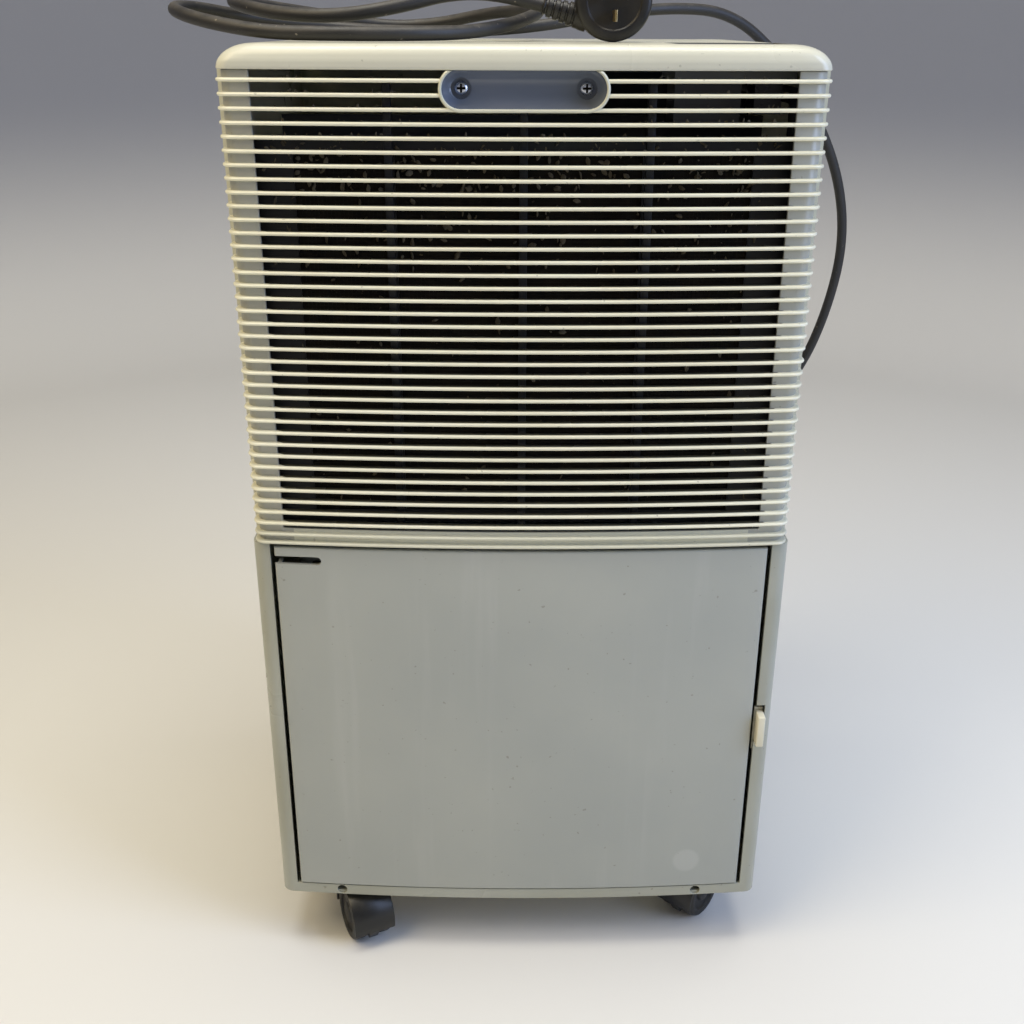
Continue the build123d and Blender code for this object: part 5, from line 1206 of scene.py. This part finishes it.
# %% Lint
def scatter_tree():
    """Lumps at random places on the given surface, each turned and sized at random."""
    tree, given = open_tree("Scattered lint", ("Density", "Float"), ("Seed", "Int"),
                            ("Smallest", "Float"),
                            ("Largest", "Float"))
    spots = add(tree, "GeometryNodeDistributePointsOnFaces",
                links={"Mesh": (given, "Geometry"), "Density": (given, "Density"),
                                                                    "Seed": (given, "Seed")})
    ball = add(tree, "GeometryNodeMeshIcoSphere", {"Radius": 1.0, "Subdivisions": 2})
    where = add(tree, "GeometryNodeInputPosition")
    rough = add(tree, "ShaderNodeTexNoise", {"Scale": 1.6, "Detail": 2.0},
                {"Vector": (where, "Position")})
    middle = add(tree, "ShaderNodeVectorMath", {1: (0.5, 0.5, 0.5)}, {0: (rough, "Color")},
                 operation="SUBTRACT")
    push = add(tree, "ShaderNodeVectorMath", {3: 1.6}, {0: (middle, "Vector")}, operation="SCALE")
    lump = add(tree, "GeometryNodeSetPosition",
               links={"Geometry": (ball, "Mesh"), "Offset": (push, "Vector")})
    turn = add(tree, "FunctionNodeRandomValue", {1: (6.28, 6.28, 6.28)}, {"Seed": (given, "Seed")},
               data_type="FLOAT_VECTOR")
    size = add(tree, "FunctionNodeRandomValue",
               links={2: (given, "Smallest"), 3: (given, "Largest"), "Seed": (given, "Seed")},
               data_type="FLOAT")
    flat = add(tree, "ShaderNodeVectorMath", {0: (1.5, 0.45, 0.8)}, {3: (size, 1)}, operation="SCALE")
    copies = add(tree, "GeometryNodeInstanceOnPoints",
                 links={"Points": (spots, "Points"), "Instance": (lump, "Geometry"),
                                                              "Rotation": (turn, "Value"),
                        "Scale": (flat, "Vector")})
    real = add(tree, "GeometryNodeRealizeInstances", links={"Geometry": (copies, "Instances")})
    return close_tree(tree, given, (real, "Geometry"))


SCATTER = scatter_tree()
lint_grey = moulded("grey-brown lint", "#625947", "#7B7260", 0.95, blotch_mm=6, grain_mm=0.7,
                    relief_mm=0.3, specular=0.1)
lint_parts = []
frame_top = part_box("filter_frame")[1].z / MM
LINT_FIELDS = ((frame_top - 30, frame_top + 1, 30000.0, 3), (frame_top - 80, frame_top - 30, 9000.0, 5),
               (mz0 + 4, frame_top - 80, 1800.0, 8))
for bottom, top, density, seed in LINT_FIELDS:
    y = my0 - 1.4
    points = [Vector(p) * MM for p in [(mx0 + 4, y, bottom), (mx1 - 4, y, bottom), (mx1 - 4, y, top),
                                       (mx0 + 4, y, top)]]
    field = piece_from("lint_field", points, [(0, 1, 2, 3)], lint_grey)
    lint_parts.append(grow(field, SCATTER, Density=density, Seed=seed, Smallest=0.5 * MM,
                           Largest=1.9 * MM,
                           Material=lint_grey))
LINTED_SLATS, RECESS_CLEAR, MIDDLE_CLEAR = 6, 52, 4
for number in range(LINTED_SLATS):
    z = first_slat - slat_step * number + SLAT_THICK / 2
    back = front_line(SLAT_INSET, SLAT_DEPTH, slat_end)
    clear_of = RECESS_CLEAR if number < 4 else MIDDLE_CLEAR
    for side in (-1, 1):
        reach = [p for p in back if clear_of < side * p[0] < INTAKE_HALF - 3]
        field = loft("lint_field", [at_height(reach, z - 0.4), at_height(reach, z + 1.0)], lint_grey)
        lint_parts.append(grow(field, SCATTER, Density=90000.0 - 9000.0 * number,
                               Seed=20 + 2 * number + side, Smallest=0.25 * MM, Largest=1.1 * MM,
                               Material=lint_grey))
lint = joined("lint", lint_parts)
install(lint, "root", "filter_cloth")

# %% [markdown]
# Each castor is a black nylon hood on a stem, over two wheels with hub caps. The hood is an arc of wall
# with a round bead at its edge; wheels are turned profiles. Every castor is built once about its own
# axes and then placed by the joints that the CAD model declares.

# %% Castors
hood_black = moulded("black nylon", "#0E0F0F", "#151514", 0.36, blotch_mm=15, grain_mm=0.9,
                     relief_mm=0.012, dust=0.12,
                     dust_hex="#77705F")
tyre_black = moulded("black wheel rubber", "#141414", "#1E1D1C", 0.5, blotch_mm=10, grain_mm=1.1,
                     relief_mm=0.03,
                     dust=0.3, dust_hex="#77705F", speck=0.5, speck_hex="#6E675A")
WHEEL_RADIUS, WHEEL_THICK, WEB, TRAIL = 20.0, 11.0, 7.0, 16.0
TOP = frame_low.z / MM - 0.3


def castor_hood(name):
    """The hood, web, collar and stem about the swivel axis, trailing towards -Y."""
    half = WEB / 2 + WHEEL_THICK + 0.6
    inner, outer = WHEEL_RADIUS + 1.4, WHEEL_RADIUS + 3.4
    steps = 36
    turns = [radians(-11.0 + 202.0 * i / steps) for i in range(steps + 1)]
    section = [(inner, -half + 0.6), (inner + 0.5, -half), (outer - 0.5, -half), (outer, -half + 0.8),
               (outer, half - 0.8),
               (outer - 0.5, half), (inner + 0.5, half), (inner, half - 0.6)]
    rows = []
    for radius, x in section:
        rows.append([(x, -TRAIL - radius * cos(t), WHEEL_RADIUS + radius * sin(t)) for t in turns])
    hood = loft(name, rows, hood_black, closed_section=True)
    web = lathe("web",
                scaled([(0, -WEB / 2), (inner + 0.3, -WEB / 2), (inner + 0.3, WEB / 2), (0, WEB / 2)]),
                (0, -TRAIL * MM, WHEEL_RADIUS * MM), (1, 0, 0), hood_black, 48)
    cut(web, box_shape("foot", (-40, -60, -10), (40, 60, 6)))
    softened(web, 0.6, 2)
    collar = lathe("collar",
                   scaled([(0, 0), (4, 0), (4, -13.0), (12.4, -13.0), (13, -13.6), (13, -18.4),
                           (12.4, -19.0),
                                     (9, -19.2), (8.6, -26), (0, -26)]), (0, 0, (TOP + 13) * MM),
                   (0, 0, 1), hood_black, 48)
    hollow = lathe("hollow", scaled([(0, -40), (inner + 0.1, -40), (inner + 0.1, 40), (0, 40)]),
                   (0, -TRAIL * MM, WHEEL_RADIUS * MM), (1, 0, 0), hood_black, 64)
    cut(collar, hollow)
    return joined(name, [hood, web, collar])


def castor_wheels(name):
    """Two wheels with bevelled treads, sunk hubs and a cap over the axle."""
    wheels = []
    for side in (-1, 1):
        inner = WEB / 2 + 0.3
        outer = inner + WHEEL_THICK - 0.3
        profile = [(0, inner), (17.5, inner), (19.2, inner + 0.6), (20, inner + 2.2), (20, outer - 2.8),
                   (19.3, outer - 1.0),
                   (17.8, outer - 0.1), (15.0, outer), (14.2, outer - 0.4), (13.6, outer - 1.8),
                   (8.0, outer - 2.2),
                   (7.2, outer - 0.8), (6.2, outer - 0.2), (0, outer)]
        wheels.append(lathe("wheel", scaled(profile), (0, -TRAIL * MM, WHEEL_RADIUS * MM), (side, 0, 0),
                            tyre_black, 56))
    return joined(name, wheels)


for place in ("front_left", "front_right", "rear_left", "rear_right"):
    swivel, roll = joints[f"swivel_{place}"], joints[f"roll_{place}"]
    hub, pivot = Vector(roll["pos_m"]), Vector(swivel["pos_m"])
    behind = hub - Vector((pivot.x, pivot.y, hub.z))
    facing = atan2(behind.x, -behind.y)
    setting = Matrix.Translation((pivot.x, pivot.y, 0)) @ Matrix.Rotation(facing, 4, "Z")
    hood, wheels = castor_hood(f"castor_hood_{place}"), castor_wheels(f"castor_tyres_{place}")
    for part in (hood, wheels):
        part.data.transform(setting)
    install(hood, f"castor_{place}", "castor_black", f"castor_fork_{place}")
    install(wheels, f"wheels_{place}", "wheel_black", f"castor_wheels_{place}")

# %% [markdown]
# The other parts keep their CAD shapes and get their finishes. Copper pipes tarnish, aluminium fins have
# a grey bloom, the compressor is painted black steel, and the tank is cloudy polypropylene. The
# evaporator tube and the discharge line are copper darkened nearly to black, which is painted shade. A
# table of nodes and finishes keeps the choice in one place.

# %% Finishes of the parts that keep their CAD shape
# Near-black copper for the tubes seen through gaps into the dark inside: painted shade.
copper_in_painted_shade = metal("copper darkened as painted shade", "#2C2620", "#1C1915", 0.6, spot_mm=8)
copper = metal("tarnished copper", "#B4704A", "#7E4A30", 0.38, spot_mm=8)
aluminium = metal("dusty aluminium fin", "#A6A8A6", "#84837C", 0.48, spot_mm=4)
steel = metal("bright steel", "#B9BCBE", "#9A9C9C", 0.3, spot_mm=3)
brass = metal("nickelled brass", "#C9B588", "#9C8350", 0.28, spot_mm=2)
coated = metal("galvanised sheet", "#A3A8AA", "#8A8F92", 0.42, spot_mm=12)
black_paint = moulded("black stove enamel", "#1A1A1B", "#242322", 0.3, blotch_mm=40, grain_mm=2.0,
                      relief_mm=0.02, dust=0.4)
tank_pp = moulded("cloudy polypropylene", "#C4C9C6", "#B4B8B0", 0.42, blotch_mm=60, grain_mm=2.2,
                  relief_mm=0.01)
dark_grey = moulded("dark grey ABS", "#3A3B3C", "#444443", 0.45, blotch_mm=30, dust=0.3)
mid_grey = moulded("pocket, grey ABS", "#6E6F6C", "#7A7A75", 0.42, blotch_mm=30, dust=0.25)
switch_black = moulded("switch, black polyamide", "#151515", "#1E1E1E", 0.3, blotch_mm=10, dust=0.25)
green_lens = moulded("green lamp lens", "#2F8A4E", "#256F3F", 0.12, blotch_mm=5, relief_mm=0.002)
rubber = moulded("black mount rubber", "#191919", "#222120", 0.7, blotch_mm=10)
foam = moulded("expanded polystyrene", "#E8E6DE", "#DDDAD0", 0.7, blotch_mm=4, grain_mm=2.5,
               relief_mm=0.25)
base_cream = moulded("base, cream ABS", "#C4BEA6", "#B4AD93", 0.5, blotch_mm=60, dust=0.3)
fan_grey = moulded("fan, grey ABS", "#55575A", "#606060", 0.45, blotch_mm=30, dust=0.35)
FINISHES = {
    "control_panel": mid_grey, "humidistat": dark_grey, "switch_body": switch_black,
    "power_rocker": switch_black,
    "running_lamp": green_lens, "water_tank": tank_pp, "float_pin": steel, "tank_float": foam,
    "tank_handle": dark_grey, "partition": coated, "tank_switch": switch_black,
    "tank_switch_lever": steel,
    "drip_tray": tank_pp, "filter_frame": rib_shade_and_filter_black, "filter_mesh": net_dark, "fan_shroud": dark_grey,
    "fan_blade": fan_grey, "fan_shaft": steel, "fan_motor": coated, "motor_bracket": coated,
    "compressor": black_paint, "compressor_mounts": rubber, "suction_line": rubber,
    "discharge_line": copper_in_painted_shade,
    "filter_drier": copper, "capillary_tube": copper, "electrical_box": dark_grey,
    "run_capacitor": aluminium,
    "plug_pins": brass, "evaporator_fins": aluminium, "evaporator_tube": copper_in_painted_shade,
    "condenser_fins": aluminium, "condenser_tube": copper, "base_pan": base_cream,
    "castor_axle_front_left": steel, "castor_axle_front_right": steel, "castor_axle_rear_left": steel,
    "castor_axle_rear_right": steel,
}
for node, finish in FINISHES.items():
    mesh = frame["nodes"][node].data
    mesh.materials.clear()
    mesh.materials.append(finish)
shown = [name for name, node in frame["nodes"].items() if not node.hide_render]
print("shown CAD nodes without a finish:", sorted(set(shown) - set(FINISHES)))

# %% [markdown]
# The last cell works out the visual model's box and prints the triangle counts of the pieces with the
# most.

# %% Sizes and finish
low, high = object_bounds()
triangles = {}
for thing in bpy.context.scene.objects:
    if thing.type == "MESH" and not thing.hide_render:
        thing.data.calc_loop_triangles()
        triangles[thing.name] = len(thing.data.loop_triangles)
print("triangles", sum(triangles.values()), "most:", sorted(triangles.items(), key=lambda t: -t[1])[:4])
